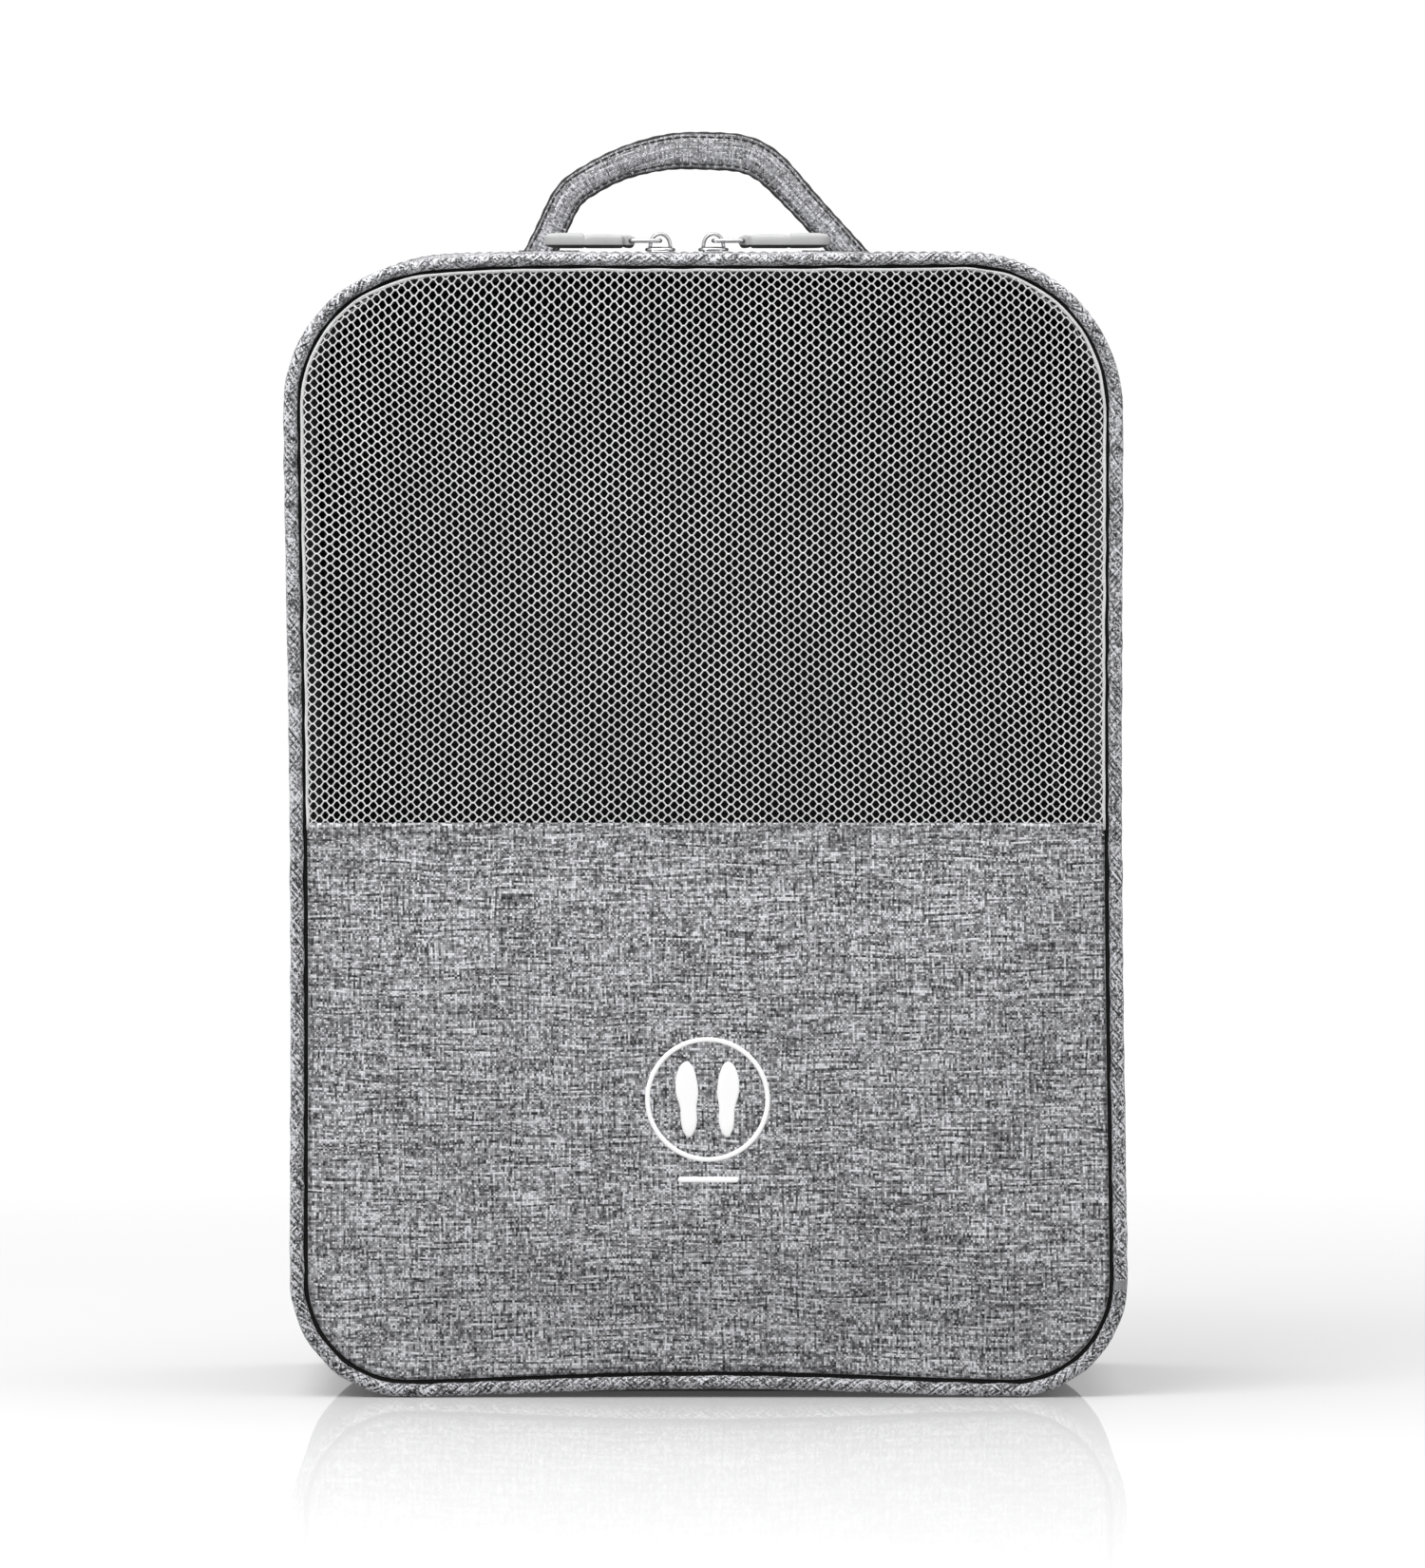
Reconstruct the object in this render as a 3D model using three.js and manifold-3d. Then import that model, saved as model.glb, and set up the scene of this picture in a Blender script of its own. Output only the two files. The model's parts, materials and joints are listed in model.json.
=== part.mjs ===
// Soft travel shoe bag, standing upright, zipped shut.
//
// Millimetres, +Z up, +X to the wearer's right when facing the front, front face towards -Y.
// The origin is on the floor, at the middle of the bag's width and depth.
//
// The bag is a padded box: a back panel and a front flap, each edged with piping, joined by a gusset.
// The flap hangs on the bag by its bottom edge and carries a knitted mesh window above a fabric panel.
// A zip with two sliders runs up both sides and over the top, just behind the front piping.

import * as THREE from 'three';
import { mergeVertices } from 'three/addons/utils/BufferGeometryUtils.js';
import Module from 'manifold-3d';

// ---------------------------------------------------------------- driving dimensions

const WIDTH = 235;
const HEIGHT = 321;
const DEPTH = 135;
const TOP_RADIUS = 44;
const BASE_RADIUS = 33;

const PIPING_RADIUS = 2.1;
const SHELL = 1.0; // outer fabric with its backing
const FOAM = 2.4;
const LINING = 0.6;
const GAP = 0.3; // between pieces that are sewn or pressed together

const WINDOW_SILL = 161; // height of the line where fabric ends and mesh begins
const RIM_FOOT = 36; // height at which the zip and the flap's side strips end

const ZIP_SETBACK = 21.5; // from the front face to the line where the two coils meet
const COIL_WIDTH = 2.6;
const COIL_HEIGHT = 2.2;
const COIL_SLOT = 1.6; // room between the coils for the sliders' posts
const TAPE_WIDTH = 6;
const TAPE_SHOWING = 2; // tape left bare on each side of the coils

const SLIDER_LENGTH = 8.6;
const SLIDER_WIDTH = 8.4;
const LEFT_SLIDER_X = -12.7;
const RIGHT_SLIDER_X = 2.25;
const LINK_REACH = 8.35; // from the slider's bridge to the bar that carries the tab
const TAB_REACH = 24.2; // from that bar to the tab's tip

const HANDLE_WIDTH = 8.6;
const HANDLE_THICKNESS = 3;

const DIVIDER_INSET = 8.7;
const DIVIDER_Y = 5;

const CORNER_STEPS = 6; // straight pieces in each rounded corner

// ---------------------------------------------------------------- places worked out from them

const FRONT = -DEPTH / 2;
const BACK = DEPTH / 2;
const PIPING = 2 * PIPING_RADIUS;
const PANEL_INSET = PIPING + GAP;
const PANEL_SETBACK = 1.1; // a panel lies this far behind its piping's outermost line
const ZIP_Y = FRONT + ZIP_SETBACK;
const COIL_OUTER = COIL_SLOT / 2 + COIL_WIDTH;
const TAPE_INSET = SHELL + GAP;
const FOAM_INSET = SHELL + GAP;
const LINING_INSET = FOAM_INSET + FOAM + GAP;

// ---------------------------------------------------------------- materials

function material(color, roughness, metalness = 0) {
  return () => new THREE.MeshStandardMaterial({ color, roughness, metalness });
}

const heather = material(0x939393, 0.92);
const pipingFabric = material(0x8c8c8c, 0.9);
const knitMesh = material(0xb4b4b4, 0.85);
const foam = material(0xd8d8d4, 0.95);
const lining = material(0x2c2d30, 0.9);
const bindingTape = material(0x1f2022, 0.85);
const zipTape = material(0xbfc0c0, 0.85);
const zipCoil = material(0xa9aaab, 0.45);
const sliderMetal = material(0xc9cbce, 0.25, 1);
const pullRubber = material(0xbcbcbc, 0.6);
const board = material(0x55565a, 0.8);
const whitePrint = material(0xf4f4f4, 0.6);
const labelSatin = material(0xf0f0ee, 0.5);
const hookTape = material(0x26272a, 0.95);

// ---------------------------------------------------------------- joining and cutting

const wasm = await Module();
wasm.setup();

// A closed three.js geometry as a solid that can be joined to and cut by others.
function solid(geometry) {
  const bare = geometry.clone();
  bare.deleteAttribute('normal');
  bare.deleteAttribute('uv');
  const merged = mergeVertices(bare, 1e-4);
  return new wasm.Manifold(new wasm.Mesh({
    numProp: 3,
    vertProperties: new Float32Array(merged.attributes.position.array),
    triVerts: new Uint32Array(merged.index.array),
  }));
}

function join(...geometries) {
  const whole = geometries.map(solid).reduce((a, b) => a.add(b));
  const mesh = whole.getMesh();
  const geometry = new THREE.BufferGeometry();
  geometry.setAttribute('position', new THREE.BufferAttribute(mesh.vertProperties, 3));
  geometry.setIndex(new THREE.BufferAttribute(mesh.triVerts, 1));
  geometry.computeVertexNormals();
  return geometry;
}

// ---------------------------------------------------------------- outlines of the bag's face

// The bag's rounded outline in X and height, with every edge moved inwards by `inset`.
function edges(inset) {
  return {
    side: WIDTH / 2 - inset,
    top: HEIGHT - inset,
    base: inset,
    topRadius: TOP_RADIUS - inset,
    baseRadius: BASE_RADIUS - inset,
  };
}

// Both top corners, from right to left, or from left to right when clockwise.
function topCorners(path, e, clockwise = false) {
  const x = e.side - e.topRadius;
  const z = e.top - e.topRadius;
  if (clockwise) {
    path.absarc(-x, z, e.topRadius, Math.PI, Math.PI / 2, true);
    path.absarc(x, z, e.topRadius, Math.PI / 2, 0, true);
  } else {
    path.absarc(x, z, e.topRadius, 0, Math.PI / 2, false);
    path.absarc(-x, z, e.topRadius, Math.PI / 2, Math.PI, false);
  }
}

// Both bottom corners, from left to right, or from right to left when clockwise.
function baseCorners(path, e, clockwise = false) {
  const x = e.side - e.baseRadius;
  const z = e.base + e.baseRadius;
  if (clockwise) {
    path.absarc(x, z, e.baseRadius, 2 * Math.PI, 1.5 * Math.PI, true);
    path.absarc(-x, z, e.baseRadius, 1.5 * Math.PI, Math.PI, true);
  } else {
    path.absarc(-x, z, e.baseRadius, Math.PI, 1.5 * Math.PI, false);
    path.absarc(x, z, e.baseRadius, 1.5 * Math.PI, 2 * Math.PI, false);
  }
}

function wholeFace(inset) {
  const shape = new THREE.Shape();
  const e = edges(inset);
  baseCorners(shape, e);
  topCorners(shape, e);
  shape.closePath();
  return shape;
}

function faceAbove(inset, low) {
  const shape = new THREE.Shape();
  const e = edges(inset);
  topCorners(shape, e);
  shape.lineTo(-e.side, low);
  shape.lineTo(e.side, low);
  shape.closePath();
  return shape;
}

function faceBelow(inset, high) {
  const shape = new THREE.Shape();
  const e = edges(inset);
  baseCorners(shape, e);
  shape.lineTo(e.side, high);
  shape.lineTo(-e.side, high);
  shape.closePath();
  return shape;
}

// A closed frame that follows the outline, between two insets.
function ring(outer, inner) {
  const shape = wholeFace(outer);
  const hole = new THREE.Path();
  const e = edges(inner);
  baseCorners(hole, e);
  topCorners(hole, e);
  hole.closePath();
  shape.holes.push(hole);
  return shape;
}

// A strip up one side, over the top and down the other, ending at height `low`.
function arch(outer, inner, low) {
  const shape = new THREE.Shape();
  const o = edges(outer);
  const i = edges(inner);
  topCorners(shape, o, true);
  shape.lineTo(o.side, low);
  shape.lineTo(i.side, low);
  topCorners(shape, i);
  shape.lineTo(-i.side, low);
  shape.lineTo(-o.side, low);
  shape.closePath();
  return shape;
}

// A strip down one side, under the bag and up the other, ending at height `high`.
function cradle(outer, inner, high) {
  const shape = new THREE.Shape();
  const o = edges(outer);
  const i = edges(inner);
  baseCorners(shape, o);
  shape.lineTo(o.side, high);
  shape.lineTo(i.side, high);
  baseCorners(shape, i, true);
  shape.lineTo(-i.side, high);
  shape.lineTo(-o.side, high);
  shape.closePath();
  return shape;
}

// ---------------------------------------------------------------- pieces from outlines

function piece(name, geometry, makeMaterial) {
  const mesh = new THREE.Mesh(geometry, makeMaterial());
  mesh.name = name;
  return mesh;
}

// An outline drawn in X and height, made solid from y = front to y = back.
function layer(name, shape, front, back, makeMaterial) {
  const geometry = new THREE.ExtrudeGeometry(shape, {
    depth: back - front,
    bevelEnabled: false,
    curveSegments: CORNER_STEPS,
  });
  const mesh = piece(name, geometry, makeMaterial);
  mesh.rotation.x = Math.PI / 2;
  mesh.position.y = back;
  return mesh;
}

// An outline drawn in X and Y, made solid upwards from z = 0.
function plate(shape, thickness, bevel = 0) {
  const geometry = new THREE.ExtrudeGeometry(shape, {
    depth: thickness - 2 * bevel,
    bevelEnabled: bevel > 0,
    bevelThickness: bevel,
    bevelSize: bevel,
    bevelOffset: -bevel,
    bevelSegments: 1,
    curveSegments: CORNER_STEPS,
  });
  geometry.translate(0, 0, bevel);
  return geometry;
}

function block(name, size, centre, makeMaterial) {
  const mesh = piece(name, new THREE.BoxGeometry(...size), makeMaterial);
  mesh.position.set(...centre);
  return mesh;
}

// Cord piping round the whole outline: a thin frame whose bevels make its section round.
function piping(name, centreY) {
  const core = 0.8;
  const round = PIPING_RADIUS - core / 2;
  const geometry = new THREE.ExtrudeGeometry(ring(round, round + core), {
    depth: core,
    bevelEnabled: true,
    bevelThickness: round,
    bevelSize: round,
    bevelSegments: 2,
    curveSegments: CORNER_STEPS,
  });
  const mesh = piece(name, geometry, pipingFabric);
  mesh.rotation.x = Math.PI / 2;
  mesh.position.y = centreY + core / 2;
  return mesh;
}

// ---------------------------------------------------------------- the front flap

function makeFlap() {
  const flap = new THREE.Group();
  const shellFront = FRONT + PANEL_SETBACK;
  const shellBack = shellFront + SHELL;
  const foamBack = shellBack + GAP + FOAM;
  const liningFront = foamBack + GAP;
  const liningBack = liningFront + LINING;
  const meshThickness = 0.6;
  const hemHeight = 5.5;
  const hemFoot = WINDOW_SILL - hemHeight;
  const rimFront = FRONT + PIPING + GAP;
  const rimBack = ZIP_Y - COIL_OUTER - TAPE_SHOWING;
  const tapeBack = ZIP_Y - COIL_OUTER - GAP;
  const tapeFront = tapeBack - TAPE_WIDTH;
  const foot = RIM_FOOT + GAP;
  const bindingInset = TAPE_INSET + LINING + GAP;

  flap.add(
    piping('front_piping', FRONT + PIPING_RADIUS),
    layer('front_lower_panel', faceBelow(PANEL_INSET, WINDOW_SILL), shellFront, shellBack, heather),
    layer('front_lower_foam', faceBelow(PANEL_INSET + GAP, hemFoot - GAP), shellBack + GAP, foamBack, foam),
    layer('front_lower_lining', faceBelow(PANEL_INSET + GAP, WINDOW_SILL), liningFront, liningBack, lining),
    layer('mesh_window', faceAbove(PANEL_INSET, WINDOW_SILL + GAP), shellFront, shellFront + meshThickness, knitMesh),
    layer('front_rim', arch(0, SHELL, foot), rimFront, rimBack, heather),
    layer('front_rim_lining', arch(TAPE_INSET, TAPE_INSET + LINING, foot), rimFront, tapeFront - GAP, lining),
    layer('front_seam_binding', arch(bindingInset, bindingInset + 2.5, foot), liningBack + GAP,
      liningBack + GAP + 1.2, bindingTape),
    layer('zip_tape_front', arch(TAPE_INSET, TAPE_INSET + LINING, foot), tapeFront, tapeBack, zipTape),
    layer('zip_coil_front', arch(GAP, GAP + COIL_HEIGHT, foot), ZIP_Y - COIL_OUTER,
      ZIP_Y - COIL_SLOT / 2, zipCoil),
    windowHem(hemFoot, hemHeight, shellBack + GAP),
    badge(shellFront),
  );
  return flap;
}

// The folded tape that finishes the fabric panel's top edge, on its inner side.
function windowHem(foot, height, front) {
  const thickness = 0.8;
  const length = WIDTH - 2 * (PANEL_INSET + GAP);
  return block('window_hem_tape', [length, thickness, height],
    [0, front + thickness / 2, foot + height / 2], bindingTape);
}

// The transfer film that carries the printed emblem.
function badge(panelFront) {
  const radius = 17.5;
  const thickness = 0.2;
  const centreHeight = 84;
  const mesh = piece('badge_print', new THREE.CylinderGeometry(radius, radius, thickness, 32), whitePrint);
  mesh.position.set(0, panelFront - GAP - thickness / 2, centreHeight);
  return mesh;
}

// ---------------------------------------------------------------- the standing body

function makeBody() {
  const body = new THREE.Group();
  body.add(...backPieces(), ...sidePieces(), ...basePieces(), ...zipEnds(), ...handleAnchors());
  body.add(careLabel());
  return body;
}

function backPieces() {
  const shellBack = BACK - PANEL_SETBACK;
  const shellFront = shellBack - SHELL;
  const foamFront = shellFront - GAP - FOAM;
  const liningBack = foamFront - GAP;
  const liningFront = liningBack - LINING;
  const bindingInset = LINING_INSET + LINING + GAP;
  return [
    piping('rear_piping', BACK - PIPING_RADIUS),
    layer('back_panel', wholeFace(PANEL_INSET), shellFront, shellBack, heather),
    layer('back_foam', wholeFace(PANEL_INSET + GAP), foamFront, shellFront - GAP, foam),
    layer('back_lining', wholeFace(PANEL_INSET + GAP), liningFront, liningBack, lining),
    layer('rear_seam_binding', ring(bindingInset, bindingInset + 2.5), liningFront - GAP - 1.2,
      liningFront - GAP, bindingTape),
  ];
}

function sidePieces() {
  const foot = RIM_FOOT + GAP;
  const gussetFront = ZIP_Y + COIL_OUTER + TAPE_SHOWING;
  const gussetBack = BACK - PIPING - GAP;
  const tapeFront = ZIP_Y + COIL_OUTER + GAP;
  const tapeBack = tapeFront + TAPE_WIDTH;
  const innerBack = BACK - PANEL_SETBACK - SHELL - FOAM - LINING - 3 * GAP;
  return [
    layer('side_gusset', arch(0, SHELL, foot), gussetFront, gussetBack, heather),
    layer('side_foam', arch(FOAM_INSET, FOAM_INSET + FOAM, foot), tapeBack + GAP, gussetBack, foam),
    layer('side_lining', arch(LINING_INSET, LINING_INSET + LINING, foot), tapeBack + GAP, innerBack - GAP, lining),
    layer('zip_tape_rear', arch(TAPE_INSET, TAPE_INSET + LINING, foot), tapeFront, tapeBack, zipTape),
    layer('zip_coil_rear', arch(GAP, GAP + COIL_HEIGHT, foot), ZIP_Y + COIL_SLOT / 2,
      ZIP_Y + COIL_OUTER, zipCoil),
  ];
}

function basePieces() {
  const gussetFront = FRONT + PIPING + GAP;
  const gussetBack = BACK - PIPING - GAP;
  const liningFront = FRONT + PIPING + 3.5;
  const liningBack = BACK - PANEL_SETBACK - SHELL - FOAM - LINING - 4 * GAP;
  const boardThickness = 2;
  const boardWidth = WIDTH - 2 * BASE_RADIUS - 8;
  const boardDepth = DEPTH - 2 * PIPING - 8;
  const hookThickness = 1.4;
  return [
    layer('bottom_gusset', cradle(0, SHELL, RIM_FOOT), gussetFront, gussetBack, heather),
    layer('bottom_lining', cradle(LINING_INSET, LINING_INSET + LINING, RIM_FOOT), liningFront, liningBack, lining),
    block('bottom_board', [boardWidth, boardDepth, boardThickness],
      [0, 0, SHELL + GAP + boardThickness / 2], board),
    block('divider_hook_strip', [boardWidth, 20, hookThickness],
      [0, DIVIDER_Y, LINING_INSET + LINING + GAP + hookThickness / 2], hookTape),
  ];
}

// The clamps that end the zip near the bottom of each side.
function zipEnds() {
  const size = [COIL_HEIGHT, 2 * COIL_OUTER, 3];
  const x = WIDTH / 2 - TAPE_INSET - COIL_HEIGHT / 2;
  const z = RIM_FOOT - size[2] / 2;
  return [['zip_end_left', -x], ['zip_end_right', x]].map(
    ([name, side]) => block(name, size, [side, ZIP_Y, z], sliderMetal),
  );
}

// A blank satin label sewn inside, on the left.
function careLabel() {
  const thickness = 0.4;
  const x = WIDTH / 2 - LINING_INSET - LINING - GAP - thickness / 2;
  return block('care_label', [thickness, 22, 32], [-x, 32, 170], labelSatin);
}

// ---------------------------------------------------------------- the carrying handle

// The band's centre line: X, and height above the bag's top. It leans, as a soft handle does.
const HANDLE_LINE = [
  [-44.5, 5], [-39, 16], [-32, 21.3], [-22.5, 25.8], [-10, 28.8],
  [4, 28.9], [11.5, 27.9], [17, 25.2], [22.3, 20.3], [36, 5.3],
];

// Where the two ends are sewn down.
function handleAnchors() {
  const size = [20, 12, 0.9];
  const z = HEIGHT + GAP + size[2] / 2;
  const left = HANDLE_LINE[0][0];
  const right = HANDLE_LINE[HANDLE_LINE.length - 1][0];
  return [
    block('handle_anchor_left', size, [left, 0, z], heather),
    block('handle_anchor_right', size, [right, 0, z], heather),
  ];
}

// A flat band that keeps half its width on each side of a smooth line through `points`.
function bandAlong(points, width) {
  const steps = 20;
  const line = new THREE.SplineCurve(points.map(([x, z]) => new THREE.Vector2(x, z)));
  const above = [];
  const below = [];
  for (let i = 0; i <= steps; i += 1) {
    const at = line.getPoint(i / steps);
    const along = line.getTangent(i / steps);
    const across = new THREE.Vector2(-along.y, along.x).multiplyScalar(width / 2);
    above.push(at.clone().add(across));
    below.unshift(at.clone().sub(across));
  }
  return new THREE.Shape([...above, ...below]);
}

function makeHandle() {
  const handle = new THREE.Group();
  const band = bandAlong(HANDLE_LINE, HANDLE_WIDTH);
  handle.position.z = HEIGHT;
  handle.add(layer('handle_strap', band, -HANDLE_THICKNESS / 2, HANDLE_THICKNESS / 2, heather));
  return handle;
}

// ---------------------------------------------------------------- zip sliders and pulls

const PLATE_THICKNESS = 1.2;
const UPPER_PLATE = HEIGHT + GAP; // underside of the slider's top plate
const LOWER_PLATE = HEIGHT - GAP - COIL_HEIGHT - 2 * GAP - PLATE_THICKNESS;
const PULL_PIVOT = UPPER_PLATE + PLATE_THICKNESS + 1.8;
const LINK_BAR = 1.3;
const LINK_SLOT = 1.6; // half the width of the link's opening
const TAB_THICKNESS = 2.6;
const TAB_LIFT = 0.2; // of the blade's middle above the link's bar
const TAB_WIDTH = 8;
const TONGUE = 2.4;

// Seen from above, a slider is wide at the nose, where the coils part, and narrower at the tail.
function sliderOutline() {
  const nose = SLIDER_LENGTH / 2;
  const wide = SLIDER_WIDTH / 2;
  const shape = new THREE.Shape();
  shape.moveTo(-nose, -wide * 0.7);
  shape.lineTo(0, -wide);
  shape.quadraticCurveTo(nose, -wide, nose, -wide * 0.35);
  shape.lineTo(nose, wide * 0.35);
  shape.quadraticCurveTo(nose, wide, 0, wide);
  shape.lineTo(-nose, wide * 0.7);
  shape.closePath();
  return shape;
}

// The arch on top of the slider that the pull hangs from, drawn in X and height.
function bridge() {
  const foot = UPPER_PLATE + PLATE_THICKNESS - GAP;
  const crown = PULL_PIVOT + 2.4;
  const half = 3.2;
  const width = 2.2;
  const shape = new THREE.Shape();
  shape.moveTo(-half, foot);
  shape.lineTo(half, foot);
  shape.bezierCurveTo(half, crown, half / 2, crown, 0, crown);
  shape.bezierCurveTo(-half / 2, crown, -half, crown, -half, foot);
  const eye = new THREE.Path();
  eye.absarc(0, PULL_PIVOT, 1.3, 0, 2 * Math.PI, true);
  shape.holes.push(eye);
  const geometry = new THREE.ExtrudeGeometry(shape, { depth: width, bevelEnabled: false, curveSegments: 6 });
  geometry.rotateX(Math.PI / 2);
  geometry.translate(0, width / 2, 0);
  return geometry;
}

// Two plates joined by a post that runs in the slot between the coils, and the bridge on top.
function sliderGeometry() {
  const upper = plate(sliderOutline(), PLATE_THICKNESS);
  upper.translate(0, 0, UPPER_PLATE);
  const lower = plate(sliderOutline(), PLATE_THICKNESS);
  lower.translate(0, 0, LOWER_PLATE);
  const postHeight = UPPER_PLATE - LOWER_PLATE;
  const post = new THREE.BoxGeometry(2.4, COIL_SLOT - 2 * GAP, postHeight);
  post.translate(SLIDER_LENGTH / 2 - 2, 0, LOWER_PLATE + PLATE_THICKNESS / 2 + postHeight / 2);
  return join(upper, lower, post, bridge());
}

function rounded(left, right, half, radius, path = new THREE.Shape()) {
  path.absarc(right - radius, half - radius, radius, 0, Math.PI / 2, false);
  path.absarc(left + radius, half - radius, radius, Math.PI / 2, Math.PI, false);
  path.absarc(left + radius, -half + radius, radius, Math.PI, 1.5 * Math.PI, false);
  path.absarc(right - radius, -half + radius, radius, 1.5 * Math.PI, 2 * Math.PI, false);
  path.closePath();
  return path;
}

// A wire frame that turns in the bridge's eye and carries the tab at its other end.
function linkGeometry() {
  const outer = rounded(-LINK_REACH - LINK_BAR / 2, LINK_BAR / 2, LINK_SLOT + 1.2, 0.6);
  const opening = rounded(-LINK_REACH + LINK_BAR / 2, -LINK_BAR / 2, LINK_SLOT, 0.3, new THREE.Path());
  outer.holes.push(opening);
  const geometry = new THREE.ExtrudeGeometry(outer, { depth: LINK_BAR, bevelEnabled: false, curveSegments: 2 });
  geometry.translate(0, 0, PULL_PIVOT - LINK_BAR / 2);
  return geometry;
}

// A moulded tab with a round-tipped blade, and a tongue whose eye turns on the link's bar.
function tabGeometry() {
  const blade = plate(rounded(-TAB_REACH, -2, TAB_WIDTH / 2, 3), TAB_THICKNESS, 0.6);
  blade.translate(-LINK_REACH, 0, PULL_PIVOT + TAB_LIFT - TAB_THICKNESS / 2);
  const tongueShape = new THREE.Shape();
  const eyeRadius = 1.3;
  const wall = 0.9;
  const r = eyeRadius + wall;
  const root = 4; // how far the tongue runs into the blade
  tongueShape.moveTo(-root, TAB_THICKNESS / 2);
  tongueShape.lineTo(-root, -TAB_THICKNESS / 2);
  tongueShape.lineTo(0, -r);
  tongueShape.absarc(0, 0, r, -Math.PI / 2, Math.PI / 2, false);
  tongueShape.closePath();
  const eye = new THREE.Path();
  eye.absarc(0, 0, eyeRadius, 0, 2 * Math.PI, true);
  tongueShape.holes.push(eye);
  const tongue = new THREE.ExtrudeGeometry(tongueShape, { depth: TONGUE, bevelEnabled: false, curveSegments: 6 });
  tongue.rotateX(Math.PI / 2);
  tongue.translate(-LINK_REACH, TONGUE / 2, PULL_PIVOT);
  return join(blade, tongue);
}

// One slider with its link and tab. The tab lies towards -X until the group is turned.
function makeZipPull(side, x, turn) {
  const pull = new THREE.Group();
  pull.position.set(x, ZIP_Y, 0);
  pull.rotation.z = turn;
  pull.add(
    piece(`zip_slider_${side}`, sliderGeometry(), sliderMetal),
    piece(`pull_link_${side}`, linkGeometry(), sliderMetal),
    piece(`pull_tab_${side}`, tabGeometry(), pullRubber),
  );
  return pull;
}

// ---------------------------------------------------------------- the padded divider inside

function makeDivider() {
  const divider = new THREE.Group();
  const boardHalf = 0.8;
  const cover = 0.8;
  const bindingWidth = 1.5;
  const inner = DIVIDER_INSET + bindingWidth + GAP;
  const coverHalf = boardHalf + GAP + cover;
  divider.position.y = DIVIDER_Y;
  divider.add(
    layer('divider_board', wholeFace(inner), -boardHalf, boardHalf, board),
    layer('divider_front_cover', wholeFace(inner), -coverHalf, -boardHalf - GAP, lining),
    layer('divider_rear_cover', wholeFace(inner), boardHalf + GAP, coverHalf, lining),
    layer('divider_binding', ring(DIVIDER_INSET, DIVIDER_INSET + bindingWidth), -coverHalf, coverHalf, bindingTape),
  );
  return divider;
}

// ---------------------------------------------------------------- the whole bag

const bag = new THREE.Group();
bag.add(
  makeBody(),
  makeFlap(),
  makeHandle(),
  makeDivider(),
  makeZipPull('left', LEFT_SLIDER_X, 0),
  makeZipPull('right', RIGHT_SLIDER_X, Math.PI),
);

export default bag;
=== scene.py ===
# Soft travel shoe bag: the visual model, built around the imported CAD frame.
# Metres, +Z up, +X to the right when looking at the front, front face towards -Y.
#
# Every fabric piece follows one rounded outline, drawn in X and height, at some distance inside it.
# Each mesh carries a "weave" attribute: metres along the yarns (X), metres across them (Y), and how
# deep the point sits in a seam (Z, 0 to 1). The fabric materials read it, and paint the cloth darker in the
# seams as shade.

import json
import math

import bmesh
import bpy
import numpy as np
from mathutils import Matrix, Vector


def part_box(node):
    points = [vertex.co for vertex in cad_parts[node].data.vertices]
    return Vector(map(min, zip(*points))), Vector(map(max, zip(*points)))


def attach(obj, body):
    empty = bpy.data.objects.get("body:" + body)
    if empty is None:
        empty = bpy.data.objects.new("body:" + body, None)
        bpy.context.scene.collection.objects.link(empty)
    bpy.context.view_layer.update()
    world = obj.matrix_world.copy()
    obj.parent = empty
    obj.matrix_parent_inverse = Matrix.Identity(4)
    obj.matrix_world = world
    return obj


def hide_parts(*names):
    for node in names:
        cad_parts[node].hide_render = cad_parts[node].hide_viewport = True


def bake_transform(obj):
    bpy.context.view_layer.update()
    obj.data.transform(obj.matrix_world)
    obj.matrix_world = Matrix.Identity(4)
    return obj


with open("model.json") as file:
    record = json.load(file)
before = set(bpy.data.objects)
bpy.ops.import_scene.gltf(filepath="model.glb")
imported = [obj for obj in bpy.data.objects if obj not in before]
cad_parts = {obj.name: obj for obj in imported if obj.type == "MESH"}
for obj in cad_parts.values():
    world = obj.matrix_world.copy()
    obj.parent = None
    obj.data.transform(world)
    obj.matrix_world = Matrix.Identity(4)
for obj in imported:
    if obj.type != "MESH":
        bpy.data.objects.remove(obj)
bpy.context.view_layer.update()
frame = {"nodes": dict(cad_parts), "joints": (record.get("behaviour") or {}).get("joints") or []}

MM = 0.001

# ---------------------------------------------------------------- driving dimensions

piping_low, piping_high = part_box("front_piping")
HALF_WIDTH = piping_high.x
HEIGHT = piping_high.z
FRONT = piping_low.y
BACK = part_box("rear_piping")[1].y
PIPING_RADIUS = (piping_high.y - piping_low.y) / 2
PANEL_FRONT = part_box("front_lower_panel")[0].y
PANEL_FACE = PANEL_FRONT + 0.2 * MM  # where the lower panel's cloth lies before it is crowned
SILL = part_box("mesh_window")[0].z
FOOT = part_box("side_gusset")[0].z
ZIP_Y = (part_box("zip_coil_front")[0].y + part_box("zip_coil_rear")[1].y) / 2
RIM_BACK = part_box("front_rim")[1].y
GUSSET_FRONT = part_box("side_gusset")[0].y
GUSSET_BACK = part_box("side_gusset")[1].y
BADGE_HEIGHT = (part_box("badge_print")[0].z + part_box("badge_print")[1].z) / 2
BADGE_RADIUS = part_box("badge_print")[1].x
PULL_HEIGHT = (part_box("pull_link_left")[0].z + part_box("pull_link_left")[1].z) / 2

TOP_RADIUS = 44 * MM
BASE_RADIUS = 33 * MM
SEAM = 2 * PIPING_RADIUS  # inset of the seam that joins a panel to its piping
STEP = 3 * MM  # spacing of points along the outline

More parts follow.
